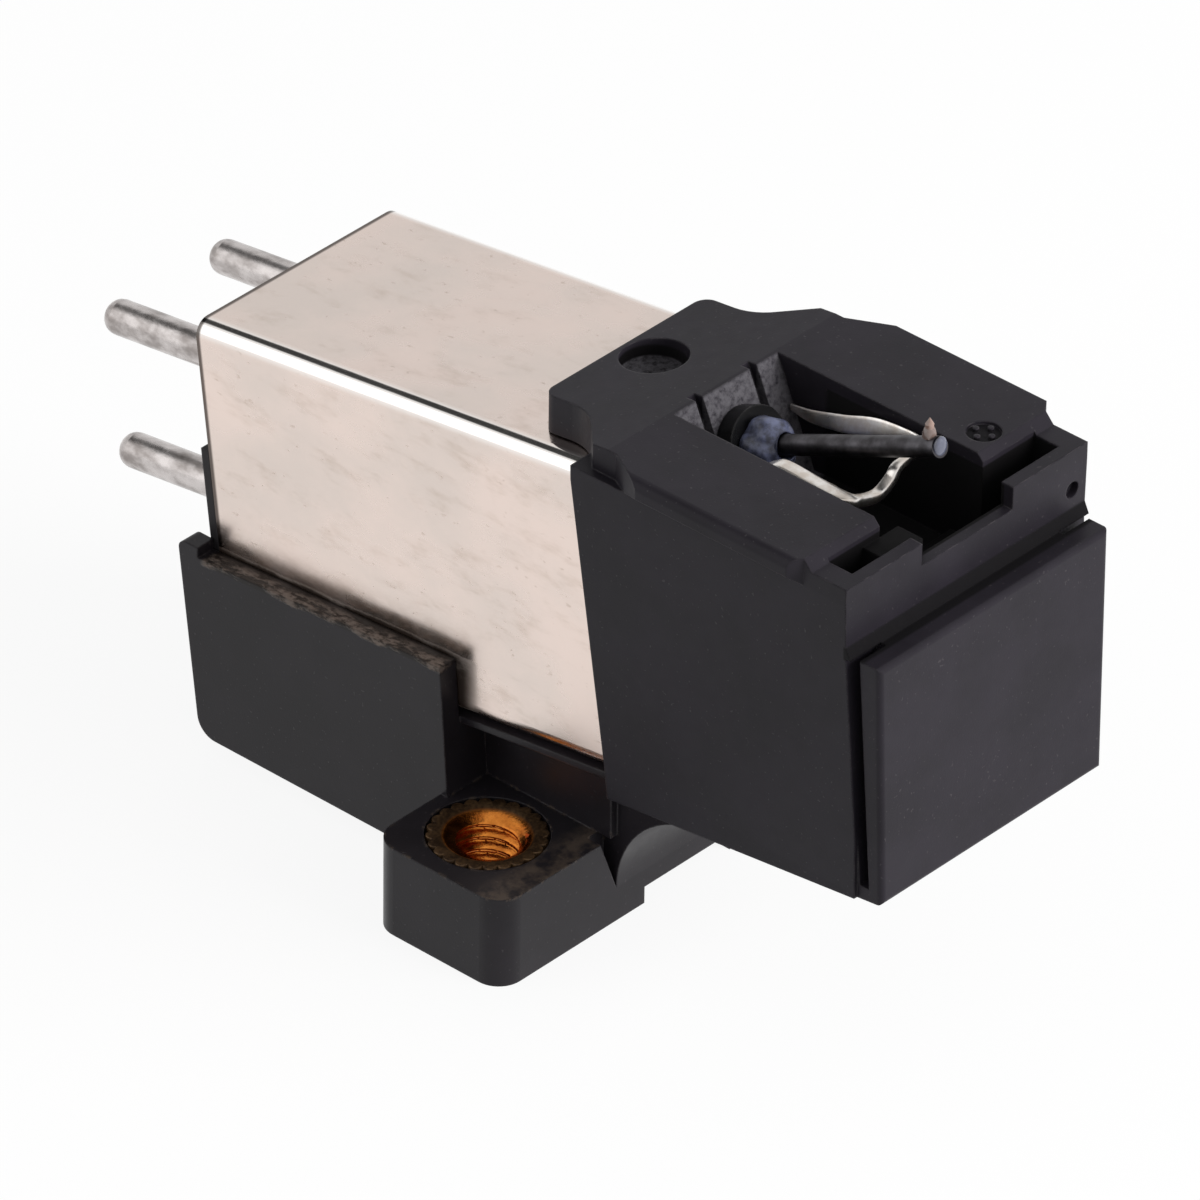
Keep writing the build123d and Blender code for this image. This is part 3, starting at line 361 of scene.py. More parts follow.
@dataclass(frozen=True)
class StainedPlastic(MouldedPlastic):
    """The bracket's plastic, with dried brown adhesive on the skirts and chips round the ears' tops."""

    residue: Colour = Colour(114, 103, 96)
    residue_dark: Colour = Colour(44, 37, 33)
    gap: Colour = Colour(24, 19, 17)
    chip: Colour = Colour(92, 80, 70)
    top_slope: float = 0.069
    top_mm: float = 8.63
    inner_mm: float = 4.97
    outer_mm: float = 5.74
    front_mm: float = 2.5
    rear_mm: float = 13.6
    ear_low_mm: float = 2.9
    ear_high_mm: float = 3.8
    scuff_rear_mm: float = -1.6
    scuff_front_mm: float = -2.5

    def layers(self, shader: Shader) -> tuple[Value, Value, Value]:
        """The plastic's changing sockets, with the adhesive and the chips laid over them.

        Args:
            shader: The material that they are made in.

        Returns:
            Base colour, roughness and normal.
        """
        tone, roughness, normal = super().layers(shader)
        across, along, up = shader.axes(shader.place)
        out = abs(across)
        smear = shader.cloud(0.9, 5.0, 0.65, (0.6, 1.8, 0.6), 7.0)
        fleck = shader.cloud(0.22, 3.0, 0.6, (0.8, 1.6, 0.8), 11.0)
        level = (up + self.top_slope * along).between(self.top_mm - 0.5, self.top_mm - 0.04)
        span = (along.between(self.front_mm, self.front_mm + 0.4)
                * along.between(self.rear_mm, self.rear_mm - 0.3))
        reach = out.between(self.inner_mm - 0.1, self.inner_mm)
        seat = reach * span * level.between(0.7, 0.95)
        crust = (reach * span * (level * 0.5 + smear).between(0.9, 1.04)
                 * out.between(self.inner_mm, self.outer_mm - 0.3))
        tone = shader.mix(seat, tone, self.gap)
        tone = shader.mix(crust, tone, shader.mix(fleck.between(0.36, 0.6), self.residue_dark, self.residue))
        rim = shader.edge_mask(shader.soft_edge(0.25)).between(0.03, 0.16)
        ears = (up.between(self.ear_low_mm, self.ear_low_mm + 0.2)
                * up.between(self.ear_high_mm, self.ear_high_mm - 0.2))
        chips = rim * ears * shader.cloud(0.4, 4.0, 0.7, shift=21.0).between(0.5, 0.6)
        smudge = shader.cloud(0.7, 5.0, 0.65, shift=27.0)
        _, _, tilt = shader.facing()
        scuff = (ears * tilt.between(0.4, 0.8) * smudge.between(0.36, 0.62)
                 * along.between(self.scuff_rear_mm, self.scuff_front_mm))
        tone = shader.mix((chips * 0.7).or_else(scuff * 0.6), tone, self.chip)
        roughness = roughness + 0.25 * crust.or_else(chips)
        return tone, roughness, shader.bump(fleck * crust - 0.5 * chips, 0.07, normal)


@dataclass(frozen=True)
class HolderPlastic(MouldedPlastic):
    """The holder's plastic: painted shade, near black, down its openings, down the blind hole and at the
    front wall's foot; a dark mark; rough and grey on the ramp and in the blind hole.
    """

    rough: Colour = Colour(84, 82, 86)
    # Near black: painted shade in the openings, down the blind hole and at the wall's foot, and the dark
    # mark's own colour.
    deep: Colour = Colour(13, 12, 13)
    strip_mm: float = 19.65
    slot_half_mm: float = 5.05
    slot_front_mm: float = -14.4
    slot_rear_mm: float = -13.1
    throat_half_mm: float = 2.6
    ramp_rear_mm: float = -4.4
    ramp_front_mm: float = -6.7
    hole_mm: float = -1.33
    hole_radius_mm: float = 1.17
    hole_floor_mm: float = 18.95
    mark_mm: tuple[float, float] = (3.57, -12.35)
    mark_radius_mm: float = 0.6
    plate_mm: float = 20.1
    ledge_mm: float = 17.07
    wall_front_mm: float = -14.65

    def layers(self, shader: Shader) -> tuple[Value, Value, Value]:
        """The plastic's changing sockets, with the rough places, the dark mark and painted shade laid over
        them.

        Args:
            shader: The material that they are made in.

        Returns:
            Base colour, roughness and normal.
        """
        tone, roughness, normal = super().layers(shader)
        across, along, up = shader.axes(shader.place)
        out = abs(across)
        throat = out.between(self.throat_half_mm, self.throat_half_mm - 0.05)
        ramp = (out.between(self.throat_half_mm - 0.1, self.throat_half_mm - 0.15)
                * along.between(self.ramp_rear_mm, self.ramp_rear_mm - 0.1)
                * along.between(self.ramp_front_mm, self.ramp_front_mm + 0.3))
        slot = out.between(self.slot_half_mm, self.slot_half_mm - 0.05) * along.between(
            self.slot_rear_mm, self.slot_rear_mm - 0.1)
        # Painted shade: the throat and the cross slot go near black below the strip's top.
        opening = (throat.or_else(slot) * along.between(self.slot_front_mm - 0.05, self.slot_front_mm)
                   * along.between(self.ramp_front_mm + 0.3, self.ramp_front_mm))
        below = up.between(self.strip_mm + 0.05, self.strip_mm - 0.05)
        hole = self.disc(shader, (0.0, self.hole_mm), self.hole_radius_mm + 0.04)
        floor = hole * up.between(self.hole_floor_mm + 0.1, self.hole_floor_mm)
        # Painted shade down the blind hole, below its top edge.
        wall = hole * up.between(self.plate_mm - 0.6, self.plate_mm - 0.75)
        mark = self.disc(shader, self.mark_mm, self.mark_radius_mm) * up.between(
            self.plate_mm - 0.03, self.plate_mm - 0.06)
        # Painted shade along the foot of the front wall, just above the ledge.
        foot = (up.between(self.ledge_mm - 0.1, self.ledge_mm)
                * up.between(self.ledge_mm + 0.5, self.ledge_mm + 0.36)
                * along.between(self.wall_front_mm, self.wall_front_mm - 0.1)
                * along.between(self.wall_front_mm - 0.8, self.wall_front_mm - 0.65))
        dark = (opening * below).or_else(wall).or_else(mark * 0.8).or_else(foot * 0.9)
        tone = shader.mix(dark, tone, self.deep)
        rough = ramp.or_else(floor)
        scuff = shader.cloud(0.22, 4.0, 0.65, shift=15.0)
        tone = shader.mix(rough * scuff.between(0.2, 0.65), tone, self.rough)
        roughness = roughness + 0.2 * rough + 0.3 * dark
        return tone, roughness, shader.bump(scuff * rough, 0.05, normal)

    @staticmethod
    def disc(shader: Shader, centre_mm: tuple[float, float], radius_mm: float) -> Value:
        """1 within a circle seen from above and 0 outside it."""
        across, along, _ = shader.axes(shader.place)
        x, y = across - centre_mm[0], along - centre_mm[1]
        return (x * x + y * y).between(radius_mm ** 2, radius_mm ** 2 - 0.06)


@dataclass(frozen=True)
class PlatedSheet:
    """Nickel-plated sheet: warm satin metal with smudges, brown specks and a slight waviness, a painted
    highlight over the top bends, painted shadow and reflection of the skirts along and just above their
    tops, and a dark band along the rear edge.
    """

    name: str
    warm: Colour = Colour(234, 217, 208)
    cool: Colour = Colour(220, 207, 199)
    grime: Colour = Colour(164, 142, 120)
    # Dark colour for the painted shadow and reflection along the skirts, also used for a band along the rear
    # edge.
    dark_band: Colour = Colour(44, 33, 26)
    # Brownish colour for the painted reflection of the skirts' stained tops.
    cloud_tint: Colour = Colour(132, 108, 88)
    # Near white for the painted highlight on the bends.
    highlight_tone: Colour = Colour(250, 247, 244)
    tilt_deg: float = 7.2
    axis_mm: float = 8.0
    rear_mm: float = 13.4
    top_mm: float = 10.03
    bend_mm: float = 0.6
    seam_slope: float = 0.069
    seam_mm: float = 8.63
    seam_front_mm: float = 2.2
    side_mm: float = 4.85

    def material(self) -> bpy.types.Material:
        """The plated sheet as a material."""
        shader = Shader(self.name)
        across, along, up = shader.axes(shader.place)
        tilt = math.radians(self.tilt_deg)
        back = along * math.cos(tilt) - (up - self.axis_mm) * math.sin(tilt)
        height = along * math.sin(tilt) + (up - self.axis_mm) * math.cos(tilt)
        bend = (height.between(self.top_mm - self.bend_mm - 0.05, self.top_mm - self.bend_mm)
                * abs(across).between(self.side_mm - self.bend_mm, self.side_mm - self.bend_mm + 0.05))
        # Painted highlight: a near-white band over the middle of the top bends.
        bend_highlight = (height.between(self.top_mm - self.bend_mm, self.top_mm - 0.5 * self.bend_mm)
                 * abs(across).between(self.side_mm - self.bend_mm, self.side_mm - 0.5 * self.bend_mm))
        smudge = shader.cloud(3.6, 5.0, 0.55, (1, 1.3, 1))
        patch = shader.cloud(0.9, 5.0, 0.62, (1, 2.2, 0.8), 4.0)
        speck = shader.cloud(0.2, 2.0, 0.5, (1, 2, 1), 9.0).between(0.66, 0.78)
        smear = shader.cloud(1.0, 5.0, 0.65, (0.6, 1.8, 0.8), 17.0)
        over = up + self.seam_slope * along - self.seam_mm
        beside = (abs(across).between(self.side_mm - 0.1, self.side_mm)
                  * along.between(self.seam_front_mm - 0.5, self.seam_front_mm + 0.3))
        # Painted reflection of the brown-stained skirt top: a brownish band on the can just above each
        # skirt.
        cloud_tint = beside * over.between(1.5, 0.1) * smear.between(0.3, 0.7)
        # Painted shadow and reflection of the skirt where the can meets the skirt's top, laid dull and less
        # metallic.
        dark_band = beside * (over.between(0.45, 0.0) * 0.8 + smear * 0.6).between(0.78, 1.1)
        # A dark band along the rear edge, in the same dark colour.
        rim = back.between(self.rear_mm - 0.22, self.rear_mm - 0.1) * 0.85
        tone = shader.mix(smudge.between(0.3, 0.7), self.cool, self.warm)
        tone = shader.mix(patch.between(0.5, 0.85) * 0.34 + speck * 0.26, tone, self.grime)
        tone = shader.mix(cloud_tint * 0.6, shader.mix(bend_highlight * 0.85, tone, self.highlight_tone), self.cloud_tint)
        tone = shader.mix(dark_band.or_else(rim), tone, self.dark_band)
        satin = 0.22 + 0.1 * smudge.between(0.35, 0.7) + 0.12 * (patch - 0.5) + 0.1 * speck + 0.35 * dark_band
        roughness = satin * (1.0 - 0.6 * bend)
        wave = shader.cloud(4.5, 1.0, 0.4, shift=2.0) + 0.04 * patch
        return shader.set(Base_Color=tone, Metallic=1.0 - 0.6 * dark_band, Roughness=roughness,
                          Normal=shader.bump(wave, 0.05))


@dataclass(frozen=True)
class PlainMetal:
    """Metal with soft spots of tarnish and a finely beaten or drawn surface."""

    name: str
    tone: Colour
    tarnish: Colour
    roughness: float = 0.3
    spot_mm: float = 0.8
    relief_mm: float = 0.35
    depth_mm: float = 0.01
    stretch: tuple[float, float, float] = (1.0, 1.0, 1.0)

    def material(self) -> bpy.types.Material:
        """The metal as a material."""
        shader = Shader(self.name)
        spot = shader.cloud(self.spot_mm, 4.0, 0.6, self.stretch)
        relief = shader.cloud(self.relief_mm, 3.0, 0.5, self.stretch, 6.0)
        tone = shader.mix(spot.between(0.35, 0.7), self.tone, self.tarnish)
        roughness = self.roughness + 0.2 * (spot - 0.5) + 0.1 * (relief - 0.5)
        return shader.set(Base_Color=tone, Metallic=1.0, Roughness=roughness,
                          Normal=shader.bump(relief, self.depth_mm))


@dataclass(frozen=True)
class ThreadBrass:
    """Brass that is bright orange down the thread and dull brown round the mouth and the rim."""

    name: str
    bright: Colour = Colour(226, 142, 62)
    dark: Colour = Colour(158, 84, 30)
    rim: Colour = Colour(102, 78, 52)
    rim_dark: Colour = Colour(58, 42, 28)
    hole_mm: float = 6.35
    mouth_mm: float = 1.5

    def material(self) -> bpy.types.Material:
        """The brass as a material."""
        shader = Shader(self.name)
        across, along, _ = shader.axes(shader.place)
        off = abs(across) - self.hole_mm
        outside = (off * off + along * along).between(self.mouth_mm ** 2 - 0.3, self.mouth_mm ** 2 + 0.2)
        spot = shader.cloud(0.6, 4.0, 0.6)
        scratch = shader.cloud(0.12, 3.0, 0.6, shift=8.0)
        thread = shader.mix(spot.between(0.2, 0.8), self.dark, self.bright)
        dull = shader.mix((spot * 0.5 + scratch * 0.5).between(0.38, 0.62), self.rim_dark, self.rim)
        return shader.set(Base_Color=shader.mix(outside, thread, dull), Metallic=1.0 - 0.35 * outside,
                          Roughness=0.2 + 0.22 * outside + 0.15 * (spot - 0.5),
                          Normal=shader.bump(scratch, 0.008))


@dataclass(frozen=True)
class EnamelledWire:
    """A winding of enamelled copper wire, its turns laid side by side along the bobbin."""

    name: str
    tone: Colour = Colour(176, 92, 48)
    shade: Colour = Colour(88, 36, 18)
    turn_mm: float = 0.12

    def material(self) -> bpy.types.Material:
        """The winding as a material."""
        shader = Shader(self.name)
        _, along, _ = shader.axes(shader.place)
        turns = shader.math("SINE", along * (2 * math.pi / self.turn_mm)) * 0.5 + 0.5
        blotch = shader.cloud(0.9, 3.0)
        tone = shader.mix(turns * 0.6 + blotch * 0.4, self.shade, self.tone)
        return shader.set(Base_Color=tone, Metallic=0.6, Roughness=0.25 + 0.2 * blotch,
                          Coat_Weight=0.4, Normal=shader.bump(turns, 0.03))


@dataclass(frozen=True)
class MouldedRubber:
    """Blue-grey rubber that lets a little light in, with a dusty skin."""

    name: str
    tone: Colour = Colour(92, 97, 122)
    deep: Colour = Colour(38, 39, 52)
    roughness: float = 0.42
    glow: float = 0.15

    def material(self) -> bpy.types.Material:
        """The rubber as a material."""
        shader = Shader(self.name)
        dust = shader.cloud(0.45, 4.0, 0.6)
        speck = shader.cloud(0.12, 2.0, shift=5.0)
        tone = shader.mix(dust.between(0.32, 0.68), self.deep, self.tone)
        roughness = self.roughness + 0.25 * (dust - 0.5)
        return shader.set(Base_Color=tone, Roughness=roughness, Subsurface_Weight=self.glow,
                          Subsurface_Radius=(0.0004, 0.0004, 0.0006), Coat_Weight=0.1,
                          Normal=shader.bump(speck, 0.012))


@dataclass(frozen=True)
class Crystal:
    """A polished, pale pink crystal or a droplet of clear adhesive."""

    name: str
    tone: Colour
    clarity: float = 0.7

    def material(self) -> bpy.types.Material:
        """The crystal as a material."""
        shader = Shader(self.name)
        cloud_tint = shader.cloud(0.3, 2.0)
        pale = Colour(min(255, self.tone.red + 20), min(255, self.tone.green + 20),
                      min(255, self.tone.blue + 20))
        return shader.set(Base_Color=shader.mix(cloud_tint, self.tone, pale), Roughness=0.06 + 0.08 * cloud_tint,
                          Transmission_Weight=self.clarity, IOR=1.7)


def surface_of_rings(name: str, rings: Sequence[Ring], closed: bool = False) -> bpy.types.Object:
    """Joins rings of points, each as long as the next, into one smooth mesh.

    Args:
        name: The new object's name.
        rings: The rings, in metres.
        closed: Whether the last ring joins the first. Otherwise the ends are capped.

    Returns:
        The new object, linked to the scene.
    """
    count = len(rings[0])
    points = [tuple(point) for ring in rings for point in ring]
    steps = len(rings) if closed else len(rings) - 1
    faces = []
    for step in range(steps):
        low, high = step * count, (step + 1) % len(rings) * count
        for i in range(count):
            j = (i + 1) % count
            faces.append((low + i, low + j, high + j, high + i))
    if not closed:
        faces.append(tuple(reversed(range(count))))
        faces.append(tuple(range((len(rings) - 1) * count, len(rings) * count)))
    mesh = bpy.data.meshes.new(name)
    mesh.from_pydata(points, [], faces)
    mesh.validate()
    mesh.update()
    made = bpy.data.objects.new(name, mesh)
    bpy.context.scene.collection.objects.link(made)
    return made


def turns(count: int) -> list[float]:
    """Angles spread evenly round a circle."""
    return [FULL_TURN * i / count for i in range(count)]


def smooth(piece: bpy.types.Object, sharp_deg: float = 40.0) -> None:
    """Shades a mesh smooth, but for its edges over an angle.

    Args:
        piece: The mesh object.
        sharp_deg: The angle.
    """
    piece.data.shade_smooth()
    piece.data.set_sharp_from_angle(angle=math.radians(sharp_deg))


@dataclass(frozen=True)
class Bend:
    """A point on a bent strip in millimetres, with half its width and thickness there, and its twist."""

    x: float
    y: float
    z: float
    half_width: float
    half_thick: float
    twist_deg: float = 0.0

    def values(self) -> Vector:
        """All six numbers, so that bends can be blended."""
        return Vector((self.x, self.y, self.z, self.half_width, self.half_thick,
                       math.radians(self.twist_deg)))


def bent_strip(name: str, bends: Sequence[Bend], steps: int = 8, corners: int = 16) -> bpy.types.Object:
    """A strip with rounded edges on a smooth line through its bends.

    Args:
        name: The new object's name.
        bends: The points that the strip passes through.
        steps: How many sections lie between two bends.
        corners: How many points a section has.

    Returns:
        The strip, linked to the scene.
    """
    keys = [bend.values() for bend in bends]
    keys = [keys[0], *keys, keys[-1]]
    line = []
    for before, start, end, after in zip(keys, keys[1:], keys[2:], keys[3:]):
        for step in range(steps):
            t = step / steps
            line.append(0.5 * (2 * start + (end - before) * t
                               + (2 * before - 5 * start + 4 * end - after) * t ** 2
                               + (3 * start - before - 3 * end + after) * t ** 3))
    line.append(keys[-1])
    rings = []
    for index, point in enumerate(line):
        ahead = Vector(line[min(index + 1, len(line) - 1)][:3]) - Vector(line[max(index - 1, 0)][:3])
        level = ahead.cross(Vector((0, 0, 1))).normalized()
        upright = level.cross(ahead).normalized()
        side = level * math.cos(point[5]) - upright * math.sin(point[5])
        lift = level * math.sin(point[5]) + upright * math.cos(point[5])
        ring = []
        for angle in turns(corners):
            wide = math.copysign(abs(math.cos(angle)) ** 0.5, math.cos(angle)) * point[3]
            thick = math.copysign(abs(math.sin(angle)) ** 0.5, math.sin(angle)) * point[4]
            ring.append((Vector(point[:3]) + side * wide + lift * thick) * MM)
        rings.append(ring)
    made = surface_of_rings(name, rings)
    smooth(made, 50.0)
    return made


@dataclass
class SubAssembly:
    """What the sub-assemblies share: the frame that they dress."""

    frame: Mapping[str, Any]

    def build(self) -> None:
        """Makes the sub-assembly's own pieces. Most have none."""

    def dress(self) -> None:
        """Gives the sub-assembly's nodes and pieces their finishes."""

    def paint(self, material: bpy.types.Material, *nodes: str) -> None:
        """Gives nodes of the frame a material.

        Args:
            material: The material.
            nodes: The nodes' names.
        """
        for name in nodes:
            node = self.frame["nodes"][name]
            node.data.materials.clear()
            node.data.materials.append(material)
            LOG.info("dressed %s in %s", name, material.name)

    def add_piece(self, piece: bpy.types.Object, body: Body, slot: Slot,
                  material: bpy.types.Material, *replaced: str) -> None:
        """Puts a new piece on its body, with its finish.

        Args:
            piece: The mesh object.
            body: The body that it rides on.
            slot: The record's slot for it. Not used.
            material: Its material.
            replaced: The nodes that it stands for.
        """
        piece.data.materials.append(material)
        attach(piece, body.value)
        if replaced:
            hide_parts(*replaced)
        LOG.info("added %s on %s", piece.name, body.value)


@dataclass
class Bracket(SubAssembly):
    """The black mounting bracket that carries the can on its skirts and tray."""

    plastic: StainedPlastic = StainedPlastic("bracket_black", Colour(36, 33, 37), roughness=0.34)

    def dress(self) -> None:
        """Gives the bracket its stained plastic."""
        self.paint(self.plastic.material(), "mounting_bracket")


@dataclass
class ThreadedInserts(SubAssembly):
    """The two knurled brass inserts, with the thread that the solids leave out."""

    brass: ThreadBrass = ThreadBrass("insert_brass")
    teeth: int = 24
    tooth_mm: float = 0.2
    mouth_mm: float = 1.62
    mouth_depth_mm: float = 0.25
    foot_mm: float = 1.42
    foot_depth_mm: float = 0.4
    minor_mm: float = 1.05
    major_mm: float = 1.3
    pitch_mm: float = 0.5
    rim_mm: float = 0.06
    rim_step_mm: float = 0.05
    segments: int = 144
    steps_per_turn: int = 12

    def build(self) -> None:
        """Makes both inserts and puts them in place of the plain ones."""
        material = self.brass.material()
        for hand in HANDS:
            node = f"threaded_insert_{hand}"
            insert = self.insert(f"knurled_insert_{hand}", *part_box(node))
            self.add_piece(insert, Body.CARTRIDGE, Slot.BRASS, material, node)

    def insert(self, name: str, low: Vector, high: Vector) -> bpy.types.Object:
        """One insert, from its knurled outside over its mouth and down its thread.

        Args:
            name: The piece's name.
            low: The plain insert's lowest corner.
            high: The plain insert's highest corner.

        Returns:
            The insert.
        """
        middle = (low + high) / 2
        outer = (high.x - low.x) / 2 / MM
        bottom, top = low.z / MM, high.z / MM

        def ring(height: float, radius: Callable[[float], float]) -> list[Vector]:
            """A ring of points at a height, in millimetres, with a radius for each angle."""
            return [Vector((middle.x + radius(a) * math.cos(a) * MM, middle.y + radius(a) * math.sin(a) * MM,
                            height * MM)) for a in turns(self.segments)]

        def knurl(angle: float) -> float:
            """The rounded teeth round the outside."""
            return outer - self.tooth_mm * (1 - abs(math.cos(self.teeth * angle / 2)) ** 0.7)

        def thread(height: float) -> Callable[[float], float]:
            """The thread's radius at a height, for each angle."""
            def radius(angle: float) -> float:
                """A rounded tooth of the thread."""
                turn = (height / self.pitch_mm - angle / FULL_TURN) % 1.0
                flank = min(1.0, max(0.0, 1.4 * (1 - abs(2 * turn - 1)) - 0.25))
                return self.minor_mm + (self.major_mm - self.minor_mm) * flank
            return radius

        rings = [ring(bottom, knurl), ring(top - self.rim_mm, knurl),
                 ring(top, lambda a: knurl(a) - self.rim_step_mm), ring(top, lambda a: self.mouth_mm)]
        first, last = top - self.mouth_depth_mm, bottom + self.foot_depth_mm
        steps = int((first - last) / self.pitch_mm * self.steps_per_turn)
        for step in range(steps + 1):
            height = first + (last - first) * step / steps
            rings.append(ring(height, thread(height)))
        rings.append(ring(bottom, lambda a: self.foot_mm))
        made = surface_of_rings(name, list(reversed(rings)), closed=True)
        smooth(made, 50.0)
        return made


@dataclass
class ShieldCan(SubAssembly):
    """The folded metal can and the terminal block that closes its rear."""

    sheet: PlatedSheet = PlatedSheet("can_nickel")
    block: MouldedPlastic = MouldedPlastic("terminal_black", Colour(34, 32, 34), roughness=0.5)
    pins: PlainMetal = PlainMetal(
        "pin_tin", Colour(206, 200, 198), Colour(148, 141, 138), 0.28, 0.7, 0.45, 0.02, (1, 1.8, 1))

    def dress(self) -> None:
        """Gives the can, the block and the pins their finishes."""
        self.paint(self.sheet.material(), "shield_can")
        self.paint(self.block.material(), "terminal_block")
        names = [f"pin_{hand}_{level}" for hand in HANDS for level in ("lower", "upper")]
        self.paint(self.pins.material(), *names)


@dataclass
class Generator(SubAssembly):
    """The coils and their iron, inside the can."""

    wire: EnamelledWire = EnamelledWire("winding_copper")
    iron: PlainMetal = PlainMetal("core_iron", Colour(150, 150, 152), Colour(112, 110, 108), 0.42)
    carrier: MouldedPlastic = MouldedPlastic(
        "carrier_cream", Colour(196, 188, 168), Colour(214, 208, 192), roughness=0.5)

    def dress(self) -> None:
        """Gives the windings, the iron and the mouldings their finishes."""
        self.paint(self.wire.material(), *(f"coil_winding_{hand}" for hand in HANDS))
        self.paint(self.iron.material(), "core_yoke", *(f"pole_piece_{hand}" for hand in HANDS))
        self.paint(self.carrier.material(), "coil_carrier", *(f"bobbin_{hand}" for hand in HANDS))


@dataclass
class StylusHolder(SubAssembly):
    """The black holder that carries the cantilever and slides onto the can."""

    plastic: HolderPlastic = HolderPlastic("holder_black", Colour(37, 34, 40), roughness=0.42, specular=0.14)
    sleeve: MouldedPlastic = MouldedPlastic("sleeve_black", Colour(20, 20, 21), roughness=0.3)
    clip: PlainMetal = PlainMetal(
        "clip_steel", Colour(244, 240, 236), Colour(218, 208, 198), 0.32, 0.6, 0.5, 0.006)
    bends: tuple[Bend, ...] = (
        Bend(-1.65, -5.15, 18.5, 0.26, 0.06), Bend(-1.65, -7.0, 18.75, 0.26, 0.06),
        Bend(-1.65, -7.9, 19.32, 0.26, 0.06), Bend(-1.65, -8.4, 19.54, 0.28, 0.07),
        Bend(-1.65, -9.7, 19.5, 0.28, 0.07), Bend(-1.65, -10.8, 19.46, 0.28, 0.09),
        Bend(-1.5, -11.15, 19.36, 0.24, 0.18), Bend(-1.15, -11.2, 19.2, 0.21, 0.19),
        Bend(-0.7, -11.2, 19.05, 0.2, 0.19), Bend(-0.3, -11.2, 19.0, 0.2, 0.19),
        Bend(0.05, -11.2, 19.1, 0.2, 0.19), Bend(0.4, -11.2, 19.32, 0.2, 0.19),
        Bend(0.65, -11.2, 19.6, 0.18, 0.17), Bend(1.2, -11.2, 19.7, 0.13, 0.13),
        Bend(1.8, -11.2, 19.72, 0.09, 0.12), Bend(2.15, -10.9, 19.72, 0.06, 0.14, 8.0),
        Bend(2.2, -10.4, 19.68, 0.05, 0.2, 17.0), Bend(2.2, -9.0, 19.4, 0.05, 0.3, 21.0),
        Bend(2.2, -7.6, 18.9, 0.05, 0.3, 21.0), Bend(2.22, -6.2, 18.55, 0.05, 0.22, 17.0),
        Bend(2.25, -5.3, 18.5, 0.05, 0.12))

    def build(self) -> None:
        """Makes the bent clip in place of its plain one."""
        strip = bent_strip("bent_clip", self.bends)
        self.add_piece(strip, Body.STYLUS, Slot.CLIP, self.clip.material(), "retaining_clip")

    def dress(self) -> None:
        """Gives the holder and its sleeve their finishes."""
        self.paint(self.plastic.material(), "stylus_holder")
        self.paint(self.sleeve.material(), "pivot_sleeve")


